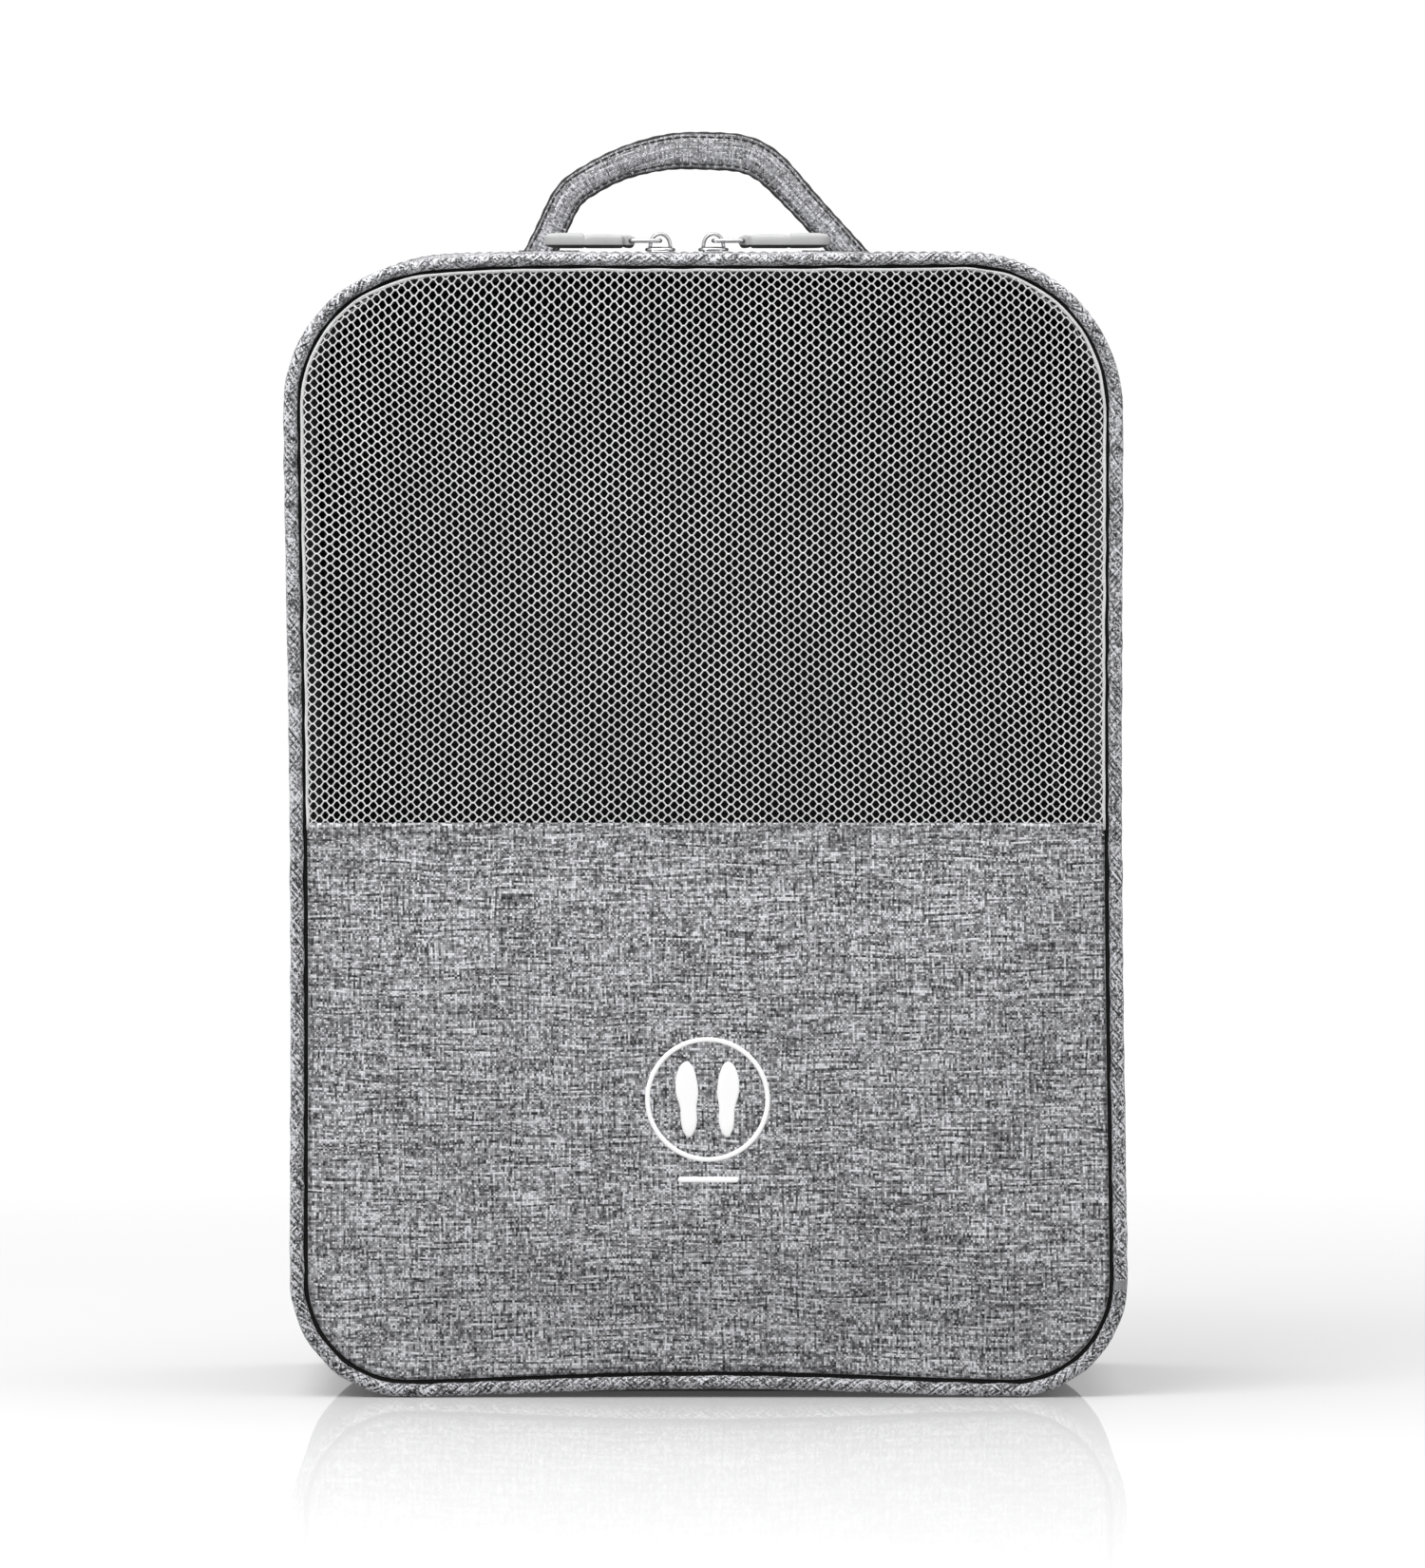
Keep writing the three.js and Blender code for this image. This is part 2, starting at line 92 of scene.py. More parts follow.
FRONT_DIP = 0.5 * MM  # how far the front top edge sags between the corners
REAR_DIP = 2.6 * MM  # how far the rear top edge sags between the corners
BASE_RISE = 2.4 * MM  # how far the piped bottom edges lift between the corners
WAIST = 0.9 * MM  # how far the sides pull in at mid-height
SLACK = 2.2 * MM  # how far the gusset sinks between its two seams
LEAN = 2.1 * MM  # how far the top stands to the left of the base
SLUMP = 1.9 * MM  # how much lower the left shoulder hangs
TUCK = 0.9 * MM  # how far the front's top seam is pulled up over its piping
TOP_SINK = 0.9 * MM  # how far the top sinks behind the zip


# ---------------------------------------------------------------- small maths

def smooth(low, high, value):
    t = np.clip((value - low) / (high - low), 0, 1)
    return t * t * (3 - 2 * t)


def arch_shape(value):
    """1 at the middle of -1..1, falling smoothly to 0 at both ends."""
    return np.clip(1 - value * value, 0, 1) ** 2


def full_turn(count):
    """Evenly spaced angles round a circle."""
    return np.arange(count) / count * 2 * math.pi


def unit(vectors):
    return vectors / np.linalg.norm(vectors, axis=-1, keepdims=True)


def running_length(points):
    """Distance run along a line of points, from 0 at the first."""
    return np.concatenate([[0], np.cumsum(np.linalg.norm(np.diff(points, axis=0), axis=1))])


def along_path(distance, length, path):
    """The path's values at running distances, between its own points."""
    return np.stack([np.interp(distance, length, column) for column in np.transpose(path)], -1)


def make_ripple(seed, lengths, count=10):
    """A smooth irregular wave over two coordinates, between about -1 and 1."""
    source = np.random.default_rng(seed)
    angle = source.uniform(0, 2 * math.pi, count)
    size = 2 * math.pi / source.uniform(lengths[0], lengths[1], count)
    phase = source.uniform(0, 2 * math.pi, count)

    def ripple(a, b):
        total = np.zeros(np.broadcast(a, b).shape)
        for i in range(count):
            total += np.sin(size[i] * (np.cos(angle[i]) * a + np.sin(angle[i]) * b) + phase[i])
        return total / math.sqrt(count)

    return ripple


pucker = make_ripple(3, (7 * MM, 16 * MM))
crease = make_ripple(5, (35 * MM, 90 * MM))


def edge_sag(x, y, top, base, front, rear):
    """How far cloth rises between the corners: the top edges sag, the base edges lift."""
    between = arch_shape(x / (HALF_WIDTH - 0.6 * TOP_RADIUS))
    dip = np.maximum(FRONT_DIP * front, REAR_DIP * rear)
    lift = BASE_RISE * (0.35 + 0.65 * np.maximum(front, rear))
    return between * (lift * base - (dip + TOP_SINK * gusset_sink(y)) * top)


def gusset_sink(y):
    """1 half-way between the zip and the rear seam, 0 at both."""
    middle = (ZIP_Y + GUSSET_BACK) / 2
    return arch_shape((y - middle - 4 * MM) / (GUSSET_BACK - middle))


def shoulder_slump(x, y, top):
    """The left shoulder hangs lower. The zip stays level as far as its sliders run."""
    zip_line = np.exp(-((y - ZIP_Y) / (9 * MM)) ** 2)
    middle = 0.72 * HALF_WIDTH + 14 * MM * zip_line
    reach = 24 * MM - 9 * MM * zip_line
    return SLUMP * top * np.exp(-((x + middle) / reach) ** 2)


def soften(points):
    """The slack of sewn cloth: edges dip or pull in between the corners, and the gusset sinks."""
    p = np.array(points, float).reshape(-1, 3)
    x, y, z = p.T.copy()
    height = z / HEIGHT
    top = smooth(0.72, 1.0, height)
    base = 1 - smooth(0.0, 0.2, height)
    outward = np.sign(x) * np.clip(np.abs(x) / HALF_WIDTH, 0, 1) ** 4  # whole at the sides, none inside
    front = 1 - smooth(FRONT + 2 * MM, ZIP_Y - 4 * MM, y)
    rear = smooth(BACK - 16 * MM, BACK - 2 * MM, y)
    waist = WAIST * arch_shape((z - 150 * MM) / (125 * MM))
    slack = SLACK * gusset_sink(y) * arch_shape((z - HEIGHT / 2) / (HEIGHT / 2))
    p[:, 0] += LEAN * (0.56 - height) - outward * (waist + slack)
    p[:, 2] += edge_sag(x, y, top, base, front, rear) - shoulder_slump(x, y, top)
    depth = depth_inside(x, z)
    pulled = front * smooth(1.5 * MM, 4 * MM, depth) * (1 - smooth(8 * MM, 40 * MM, depth))
    p[:, 0] += outward * 0.4 * TUCK * pulled
    p[:, 2] += TUCK * pulled * (top - 0.55 * base)
    return p


# ---------------------------------------------------------------- the outline

def line_points(start, end, normal):
    count = max(2, math.ceil(math.dist(start, end) / STEP))
    t = np.arange(count)[:, None] / count
    points = np.array(start) * (1 - t) + np.array(end) * t
    return points, np.tile(normal, (count, 1))


def corner_points(centre, radius, full_radius, start):
    """A quarter turn, anticlockwise from the angle start."""
    count = math.ceil(math.pi / 2 * full_radius / STEP)
    angle = start + np.arange(count) / count * math.pi / 2
    normals = np.column_stack([np.cos(angle), np.sin(angle)])
    return np.array(centre) + radius * normals, normals


def outline(kind, inset, low=FOOT):
    """Points, outward normals and running length along the rounded outline, moved in by inset.
    kind is "ring", "arch" (over the top, with feet at height low) or "cradle" (under the base, up to low)."""
    side = HALF_WIDTH - inset
    top_x, top_z = HALF_WIDTH - TOP_RADIUS, HEIGHT - TOP_RADIUS
    base_x, base_z = HALF_WIDTH - BASE_RADIUS, BASE_RADIUS

    def flank(sign, start, end):
        return line_points((sign * side, start), (sign * side, end), (sign, 0))

    top = [
        corner_points((top_x, top_z), TOP_RADIUS - inset, TOP_RADIUS, 0),
        line_points((top_x, HEIGHT - inset), (-top_x, HEIGHT - inset), (0, 1)),
        corner_points((-top_x, top_z), TOP_RADIUS - inset, TOP_RADIUS, math.pi / 2),
    ]
    base = [
        corner_points((-base_x, base_z), BASE_RADIUS - inset, BASE_RADIUS, math.pi),
        line_points((-base_x, inset), (base_x, inset), (0, -1)),
        corner_points((base_x, base_z), BASE_RADIUS - inset, BASE_RADIUS, 1.5 * math.pi),
    ]
    if kind == "ring":
        runs = [flank(1, base_z, top_z)] + top + [flank(-1, top_z, base_z)] + base
        end = (side, base_z)
    elif kind == "arch":
        runs = [flank(1, low, top_z)] + top + [flank(-1, top_z, low)]
        end = (-side, low)
    else:
        runs = [flank(-1, low, base_z)] + base + [flank(1, base_z, low)]
        end = (side, low)
    last_normal = runs[0][1][0] if kind == "ring" else runs[-1][1][-1]
    points = np.vstack([run[0] for run in runs] + [end])
    normals = np.vstack([run[1] for run in runs] + [last_normal])
    return points, normals, running_length(points)


def depth_inside(x, z, inset=0.0):
    """How far a point of the face lies inside the outline."""
    upper = z > HEIGHT / 2
    radius = np.where(upper, TOP_RADIUS, BASE_RADIUS) - inset
    across = np.abs(x) - (HALF_WIDTH - inset - radius)
    along = np.where(upper, z - (HEIGHT - inset - radius), inset + radius - z)
    straight = radius - np.maximum(across, along)
    return np.where((across > 0) & (along > 0), radius - np.hypot(across, along), straight)


def half_width(z, inset):
    """Half the face's width at each height."""
    top = TOP_RADIUS - inset
    base = BASE_RADIUS - inset
    above = np.clip(z - (HEIGHT - TOP_RADIUS), 0, top)
    below = np.clip(BASE_RADIUS - z, 0, base)
    lost = np.where(above > 0, top - np.sqrt(top**2 - above**2), base - np.sqrt(base**2 - below**2))
    return HALF_WIDTH - inset - lost


# ---------------------------------------------------------------- making meshes

def grid_faces(rows, columns, close_rows=False, close_columns=False, caps=False, first=0):
    """Quads over a grid of points. caps closes the first and the last row with one face each."""
    i, j = np.meshgrid(
        np.arange(rows if close_rows else rows - 1),
        np.arange(columns if close_columns else columns - 1),
        indexing="ij",
    )
    here, right = i * columns + j, i * columns + (j + 1) % columns
    below, corner = (i + 1) % rows * columns + j, (i + 1) % rows * columns + (j + 1) % columns
    faces = (np.stack([here, right, corner, below], -1).reshape(-1, 4) + first).tolist()
    if caps:
        last = first + (rows - 1) * columns
        faces += [list(range(first, first + columns)), list(range(last, last + columns))]
    return faces


def make_piece(name, points, faces, weave, body, material, replaces=(), outward=True):
    """A smooth-shaded mesh that rides on a body, stands for CAD nodes and has one material."""
    mesh = bpy.data.meshes.new(name)
    mesh.from_pydata(np.asarray(points).tolist(), [], faces)
    if weave is not None:
        attribute = mesh.attributes.new("weave", "FLOAT_VECTOR", "POINT")
        attribute.data.foreach_set("vector", np.asarray(weave, np.float32).ravel())
    if outward:
        work = bmesh.new()
        work.from_mesh(mesh)
        bmesh.ops.recalc_face_normals(work, faces=work.faces)
        work.to_mesh(mesh)
        work.free()
    mesh.polygons.foreach_set("use_smooth", np.ones(len(mesh.polygons), bool))
    mesh.materials.append(material)
    piece = bpy.data.objects.new(name, mesh)
    bpy.context.scene.collection.objects.link(piece)
    if body:
        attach(piece, body)
    if replaces:
        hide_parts(*replaces)
    return piece


def round_off(piece, name):
    """Smooths a coarse mesh by one step of subdivision."""
    smoother = piece.modifiers.new(name, "SUBSURF")
    smoother.levels = smoother.render_levels = 1
    return piece


def thicken(piece, thickness, offset=1.0):
    """Gives a sheet its thickness, on one side of it (offset -1 or 1) or both (0)."""
    solid = piece.modifiers.new("cloth thickness", "SOLIDIFY")
    solid.thickness = thickness
    solid.offset = offset
    return piece


def across_section(section):
    """Running distance round a closed section of (inset, y) points."""
    return running_length(np.array(section + section[:1]))[:-1]


def strip(name, kind, section, low=FOOT, relief=None, shape=soften, **piece):
    """A long piece that follows the outline. section is a closed loop of (inset, y) points.
    relief(length, y, inset) moves points outwards, and shape then bends the whole."""
    columns = []
    for inset, y in section:
        points, normals, length = outline(kind, inset, low)
        columns.append(np.column_stack([points[:, 0], np.full(len(points), y), points[:, 1]]))
    grid = np.stack(columns, 1)
    ring = kind == "ring"
    if ring:
        grid = grid[:-1]
        normals = normals[:-1]
        length = length[:-1]
    rows, count = grid.shape[:2]
    insets = np.array(section)[:, 0]
    if relief is not None:
        push = relief(length[:, None], np.array(section)[None, :, 1], insets[None, :])
        grid[:, :, 0] += normals[:, None, 0] * push
        grid[:, :, 2] += normals[:, None, 1] * push
    distance = across_section(section)
    # The inner side is marked deep, so the heather cloth and the net are painted darker there as shade.
    depth = np.clip((insets - insets.min()) / (1.5 * MM), 0, 1)
    weave = np.stack(np.broadcast_arrays(length[:, None], distance[None, :], depth[None, :]), -1)
    faces = grid_faces(rows, count, close_rows=ring, close_columns=True, caps=not ring)
    return make_piece(name, shape(grid), faces, weave.reshape(-1, 3), **piece)


def slab(outer, inner, front, back, spacing=4 * MM, roll=0.5 * MM):
    """A closed section for a strip of cloth, with rounded edges and enough points to bend."""
    count = max(3, math.ceil((back - front) / spacing) + 1)
    middle = (outer + inner) / 2
    ys = np.linspace(front + roll, back - roll, count)
    section = [(outer + roll / 2, front + roll / 4)]
    section += [(outer, y) for y in ys]
    section += [(outer + roll / 2, back - roll / 4), (middle, back)]
    section += [(inner, y) for y in ys[::-1]]
    return section + [(middle, front)]


def round_section(inset, y, radius, sides=16):
    angle = full_turn(sides)
    return [(inset - radius * math.cos(a), y + radius * math.sin(a)) for a in angle]


# ---------------------------------------------------------------- cloth simulation

def billow(width, height, pressure, slack, spacing=5 * MM, seed=0):
    """A sheet of slack cloth, held round its edge and pressed from behind.
    Returns a function of two places, each 0 to 1, that gives how far the cloth stands out."""
    columns = round(width / spacing) + 1
    rows = round(height / spacing) + 1
    u, v = np.meshgrid(np.linspace(0, 1, columns), np.linspace(0, 1, rows))
    heights = simulate_sheet(u, v, width, height, pressure, slack, seed)

    def sample(a, b):
        a = np.clip(a, 0, 1) * (columns - 1)
        b = np.clip(b, 0, 1) * (rows - 1)
        i = np.minimum(a.astype(int), columns - 2)
        j = np.minimum(b.astype(int), rows - 2)
        s, t = smooth(0, 1, a - i), smooth(0, 1, b - j)
        upper = heights[j, i] * (1 - s) + heights[j, i + 1] * s
        lower = heights[j + 1, i] * (1 - s) + heights[j + 1, i + 1] * s
        return upper * (1 - t) + lower * t

    return sample


def simulate_sheet(u, v, width, height, pressure, slack, seed):
    rows, columns = u.shape
    start = np.random.default_rng(seed).uniform(-0.05 * MM, 0.05 * MM, u.shape)
    points = np.column_stack([u.ravel() * width, v.ravel() * height, start.ravel()])
    mesh = bpy.data.meshes.new("sheet")
    mesh.from_pydata(points.tolist(), [], grid_faces(rows, columns))
    sheet = bpy.data.objects.new("sheet", mesh)
    bpy.context.scene.collection.objects.link(sheet)
    edge = (u == 0) | (u == 1) | (v == 0) | (v == 1)
    held = sheet.vertex_groups.new(name="held")
    held.add(np.flatnonzero(edge.ravel()).tolist(), 1.0, "REPLACE")
    cloth = sheet.modifiers.new("cloth", "CLOTH")
    cloth.settings.quality = 6
    cloth.settings.mass = 0.2
    cloth.settings.tension_stiffness = 30
    cloth.settings.compression_stiffness = 30
    cloth.settings.bending_stiffness = 0.4
    cloth.settings.vertex_group_mass = "held"
    cloth.settings.use_pressure = True
    cloth.settings.uniform_pressure_force = pressure
    cloth.settings.shrink_min = -slack
    cloth.settings.effector_weights.gravity = 0
    scene = bpy.context.scene
    last_frame = 24
    cloth.point_cache.frame_start = 1
    cloth.point_cache.frame_end = last_frame
    for number in range(1, last_frame + 1):
        scene.frame_set(number)
    evaluated = sheet.evaluated_get(bpy.context.evaluated_depsgraph_get())
    moved = np.array([vertex.co[2] for vertex in evaluated.data.vertices]).reshape(rows, columns)
    bpy.data.objects.remove(sheet)
    scene.frame_set(1)
    return np.clip(np.abs(moved), 0, 7 * MM)


# ---------------------------------------------------------------- material nodes

class Nodes:
    """Makes the nodes of a tree. Each method returns an output that the next one can take."""

    def __init__(self, tree):
        self.tree = tree

    def node(self, kind, inputs, output=0, **settings):
        made = self.tree.nodes.new(kind)
        for key, value in settings.items():
            setattr(made, key, value)
        for key, value in inputs.items():
            self.put(made.inputs[key], value)
        return made.outputs[output]

    def put(self, socket, value):
        if isinstance(value, bpy.types.NodeSocket):
            self.tree.links.new(value, socket)
        else:
            socket.default_value = value

    def math(self, operation, a, b=0.0, c=0.0):
        return self.node("ShaderNodeMath", {0: a, 1: b, 2: c}, operation=operation)

    def add(self, a, b):
        return self.math("ADD", a, b)

    def times(self, a, b):
        return self.math("MULTIPLY", a, b)

    def over(self, a, b):
        return self.math("DIVIDE", a, b)

    def split(self, vector):
        made = self.tree.nodes.new("ShaderNodeSeparateXYZ")
        self.put(made.inputs[0], vector)
        return made.outputs[0], made.outputs[1], made.outputs[2]

    def join(self, x, y=0.0, z=0.0):
        return self.node("ShaderNodeCombineXYZ", {0: x, 1: y, 2: z})

    def weave(self):
        return self.split(self.node("ShaderNodeAttribute", {}, output="Vector", attribute_name="weave"))

    def place(self):
        return self.node("ShaderNodeTexCoord", {}, output="Object")

    def noise(self, vector, scale=1.0, detail=2.0, roughness=0.5):
        inputs = {"Vector": vector, "Scale": scale, "Detail": detail, "Roughness": roughness}
        return self.node("ShaderNodeTexNoise", inputs, output=0)

    def patches(self, u, v, u_length, v_length, level=0.0, detail=2.0):
        """Soft noise over the weave, in patches about this long along it and across it."""
        return self.noise(self.join(self.over(u, u_length), self.over(v, v_length), level), detail=detail)

    def lumps(self, length, detail=2.0):
        """Soft noise in space, in lumps of about this length."""
        return self.noise(self.place(), scale=1 / length, detail=detail)

    def stretch(self, value, low, high, to_low=0.0, to_high=1.0):
        ranges = {"From Min": low, "From Max": high, "To Min": to_low, "To Max": to_high}
        return self.node("ShaderNodeMapRange", {"Value": value, **ranges})

    def spread(self, noise, low, high):
        """Carries the range in which a noise mostly moves over to another range."""
        return self.stretch(noise, 0.3, 0.7, low, high)

    def mix(self, share, a, b):
        """Blends two numbers."""
        return self.add(self.times(a, self.math("SUBTRACT", 1.0, share)), self.times(b, share))

    def colour(self, tone, tint=(1.0, 1.0, 1.0)):
        return self.node("ShaderNodeCombineColor", {0: self.times(tone, tint[0]),
                                                    1: self.times(tone, tint[1]),
                                                    2: self.times(tone, tint[2])})

    def bump(self, height, depth, strength=1.0, under=None):
        inputs = {"Height": height, "Distance": depth, "Strength": strength}
        if under is not None:
            inputs["Normal"] = under
        return self.node("ShaderNodeBump", inputs)


class Shader(Nodes):
    """The nodes of one new material."""

    def __init__(self, name):
        self.material = bpy.data.materials.new(name)
        self.material.use_nodes = True
        super().__init__(self.material.node_tree)
        self.surface = self.tree.nodes["Principled BSDF"]

    def set(self, **values):
        for key, value in values.items():
            self.put(self.surface.inputs[key.replace("_", " ")], value)
        return self.material


YARN_STRIDE = 7.13  # how far apart in the noise one yarn's tone lies from the next
STREAK_STRIDE = 3.37


def yarns(shader, along, across, pitch, run, seed):
    """One set of yarns: its number, a tone that drifts along its length, and its rounded height."""
    number = shader.math("FLOOR", shader.over(across, pitch))
    place = shader.join(shader.over(along, run), shader.times(number, YARN_STRIDE), seed)
    tone = shader.noise(place, detail=1.0)
    round_top = shader.math("SINE", shader.times(across, math.pi / pitch))
    return number, tone, shader.math("ABSOLUTE", round_top)


def streaks(shader, along, number, run, seed):
    """A second, slower tone of the same yarns."""
    return shader.noise(shader.join(shader.over(along, run), shader.times(number, STREAK_STRIDE), seed))


def heather_cloth(name, mean=0.30, contrast=1.0, bias=0.0, pitch=0.58 * MM, tint=(1.0, 1.0, 1.05)):
    """Two-tone plain weave: pale and dark yarns in short runs, turned by the bias angle.
    Every third yarn is painted darker, as shade of a yarn lying a little deeper, which gives the cloth its
    coarse grid."""
    s = Shader(name)
    u, v, depth = s.weave()
    turn_c, turn_s = math.cos(bias), math.sin(bias)
    u, v = s.add(s.times(u, turn_c), s.times(v, -turn_s)), s.add(s.times(u, turn_s), s.times(v, turn_c))
    sway = s.patches(u, v, 24 * MM, 9 * MM, detail=1.0)
    lean = s.patches(u, v, 9 * MM, 24 * MM, level=4.0, detail=1.0)
    across = s.add(v, s.spread(sway, -0.7 * MM, 0.7 * MM))
    along = s.add(u, s.spread(lean, -0.5 * MM, 0.5 * MM))
    row, weft, weft_top = yarns(s, along, across, pitch, 1.9 * MM, 3.7)
    column, warp, warp_top = yarns(s, across, along, pitch, 1.5 * MM, 9.1)
    weft_streak = streaks(s, along, row, 15 * MM, 1.9)
    warp_streak = streaks(s, across, column, 9 * MM, 6.3)
    weft = s.add(s.spread(weft, -0.52, 0.52), s.spread(weft_streak, -0.68, 0.68))
    warp = s.add(s.spread(warp, -0.52, 0.52), s.spread(warp_streak, -0.35, 0.35))
    crossing = s.node("ShaderNodeTexWhiteNoise", {"Vector": s.join(row, column)}, noise_dimensions="2D")
    over = s.math("GREATER_THAN", s.math("ABSOLUTE", s.math("MODULO", s.add(row, column), 2.0)), 0.5)
    painted_shade_row = s.math("LESS_THAN", s.math("FLOORED_MODULO", row, 3.0), 0.5)
    painted_shade_column = s.math("LESS_THAN", s.math("FLOORED_MODULO", column, 3.0), 0.5)
    blotch = s.patches(u, v, 45 * MM, 30 * MM)
    fuzz = s.patches(u, v, 0.25 * MM, 0.2 * MM, detail=1.0)
    relief = s.mix(over, weft_top, warp_top)
    tone = s.mix(s.mix(over, 0.25, 0.75), warp, weft)
    tone = s.add(tone, s.stretch(crossing, 0.0, 1.0, -0.40, 0.40))
    # Every third row and column is painted darker: painted shade, the yarns are not set deeper.
    tone = s.add(tone, s.add(s.times(painted_shade_row, -0.24), s.times(painted_shade_column, -0.18)))
    tone = s.add(tone, s.spread(blotch, -0.04, 0.04))
    # Where a yarn's rounded top falls away the tone drops: painted shade in the gaps between yarns.
    tone = s.add(tone, s.add(s.stretch(relief, 0.0, 0.7, -0.35, 0.05), s.spread(fuzz, -0.1, 0.1)))
    brightness = s.math("POWER", s.math("MAXIMUM", s.add(s.times(tone, 0.55 * contrast), 1.0), 0.2), 2.2)
    # Towards the seams the cloth is painted darker, down to 0.55: painted shade in the seam.
    painted_seam_darkening = s.stretch(depth, 0.0, 1.0, 1.0, 0.55)
    base = s.colour(s.math("MINIMUM", s.times(s.times(brightness, painted_seam_darkening), mean), 0.9), tint)
    normal = s.bump(s.add(relief, s.times(fuzz, 0.3)), 0.15 * MM, 0.7)
    return s.set(Base_Color=base, Roughness=s.spread(fuzz, 0.82, 0.97), Normal=normal,
                 Sheen_Weight=0.12, Sheen_Roughness=0.5)


def plain_cloth(name, tone, pitch=0.45 * MM, rib=0.0, tint=(1.0, 1.0, 1.0), sheen=0.1, roughness=0.85):
    """Fine single-colour cloth or tape. rib turns the weave into raised lines across the piece."""
    s = Shader(name)
    u, v, _ = s.weave()
    row, weft, weft_top = yarns(s, u, v, pitch, 6 * MM, 1.3)
    column, warp, warp_top = yarns(s, v, u, pitch, 6 * MM, 5.9)
    parity = s.math("MODULO", s.add(row, column), 2.0)
    over = s.math("GREATER_THAN", s.math("ABSOLUTE", parity), 0.5)
    fuzz = s.patches(u, v, 0.6 * MM, 0.6 * MM)
    worn = s.patches(u, v, 22 * MM, 22 * MM, detail=3.0)
    shade = s.add(s.spread(s.mix(over, warp, weft), -0.16, 0.16), s.spread(worn, -0.1, 0.1))
    shaded = s.times(s.add(1.0, shade), tone)
    relief = s.add(s.mix(over, weft_top, warp_top), s.times(fuzz, 0.5))
    if rib:
        relief = s.add(relief, s.times(s.math("ABSOLUTE", s.math("SINE", s.times(u, math.pi / rib))), 1.5))
    normal = s.bump(relief, 0.1 * MM, 0.5)
    return s.set(Base_Color=s.colour(shaded, tint), Normal=normal, Sheen_Weight=sheen,
                 Specular_IOR_Level=0.2, Roughness=s.spread(fuzz, roughness - 0.06, roughness + 0.06))


def knit_net(name, tone):
    """Warp-knitted polyester net: soft strands with fine loops."""
    s = Shader(name)
    u, v, depth = s.weave()
    loops = s.patches(u, v, 0.32 * MM, 0.5 * MM)
    patch = s.patches(u, v, 18 * MM, 26 * MM)
    shade = s.add(s.spread(loops, -0.2, 0.2), s.spread(patch, -0.08, 0.08))
    # The net is painted darker towards the back of its strands and its inner edge: painted shade.
    painted_depth_shade = s.stretch(depth, 0.0, 1.0, 1.0, 0.32)
    base = s.colour(s.times(s.times(s.add(1.0, shade), painted_depth_shade), tone))
    return s.set(Base_Color=base, Roughness=0.7, Normal=s.bump(loops, 0.12 * MM, 0.6),
                 Sheen_Weight=0.2, Sheen_Roughness=0.4)


def soft_foam(name, tone):
    """Open-cell foam: small round cells."""
    s = Shader(name)
    cells = s.node("ShaderNodeTexVoronoi", {"Vector": s.place(), "Scale": 1 / (0.9 * MM)}, output="Distance")
    aged = s.lumps(30 * MM)
    base = s.colour(s.times(s.spread(aged, 0.9, 1.05), tone), (1.0, 0.99, 0.95))
    return s.set(Base_Color=base, Roughness=0.95, Normal=s.bump(cells, 0.3 * MM, 0.6))


def plated_metal(name):
    """Bright plated zinc with faint casting grain and hairline scuffs."""
    s = Shader(name)
    grain = s.lumps(0.5 * MM, detail=3.0)
    hairlines = s.node("ShaderNodeMapping", {"Vector": s.place(), "Scale": (900.0, 9000.0, 2500.0)})
    scuff = s.noise(hairlines)
    # Faces turned from the camera are painted near-black: painted shade that outlines the metal.
    turned_away = s.node("ShaderNodeLayerWeight", {"Blend": 0.5}, output="Facing")
    edge_shade = s.stretch(turned_away, 0.15, 0.65, 1.0, 0.06)
    base = s.colour(s.times(s.spread(scuff, 0.52, 0.66), edge_shade), (1.0, 1.0, 1.02))
    return s.set(Base_Color=base, Metallic=1.0, Roughness=s.stretch(scuff, 0.35, 0.7, 0.16, 0.32),
                 Normal=s.bump(grain, 0.03 * MM, 0.35))


def moulded_rubber(name, tone, painted_underside_shade, shade_line_height):
    """Soft matte moulding with a fine spark-eroded grain: a pale body whose lower part is painted near-black,
    as painted shade under the tab.
    """
    s = Shader(name)
    _, _, height = s.split(s.place())
    tone = s.stretch(height, shade_line_height - 0.1 * MM, shade_line_height + 0.1 * MM, painted_underside_shade, tone)
    grain = s.lumps(0.22 * MM)
    cloud = s.lumps(6 * MM)
    base = s.colour(s.times(s.spread(cloud, 0.94, 1.05), tone))
    return s.set(Base_Color=base, Roughness=s.spread(grain, 0.48, 0.62),
                 Normal=s.bump(grain, 0.04 * MM, 0.5))


def nylon_coil(name, tone):
    s = Shader(name)
    cloud = s.lumps(3 * MM)
    base = s.colour(s.times(s.spread(cloud, 0.9, 1.08), tone))
    return s.set(Base_Color=base, Roughness=0.38, Normal=s.bump(cloud, 0.05 * MM, 0.3))


def raised_print(name):
    """Thick white transfer ink: nearly smooth, taking a little of the weave beneath."""
    s = Shader(name)
    u, v, _ = s.weave()
    _, _, weft_top = yarns(s, u, v, 0.5 * MM, 5 * MM, 2.2)
    speck = s.patches(u, v, 0.5 * MM, 0.5 * MM)
    base = s.colour(s.spread(speck, 0.88, 0.95))
    # The print glows a little through its emission: painted light that keeps it bright white.
    return s.set(Base_Color=base, Roughness=0.55, Normal=s.bump(s.add(weft_top, speck), 0.05 * MM, 0.4),
                 Emission_Color=(1, 1, 1, 1), Emission_Strength=0.22)


def sheet_board(name, tone):
    """Pressed fibre board: mottled, with a faint emboss."""
    s = Shader(name)
    mottle = s.lumps(2.5 * MM, detail=4.0)
    base = s.colour(s.times(s.spread(mottle, 0.8, 1.15), tone))
    return s.set(Base_Color=base, Roughness=0.8, Normal=s.bump(mottle, 0.15 * MM, 0.4))


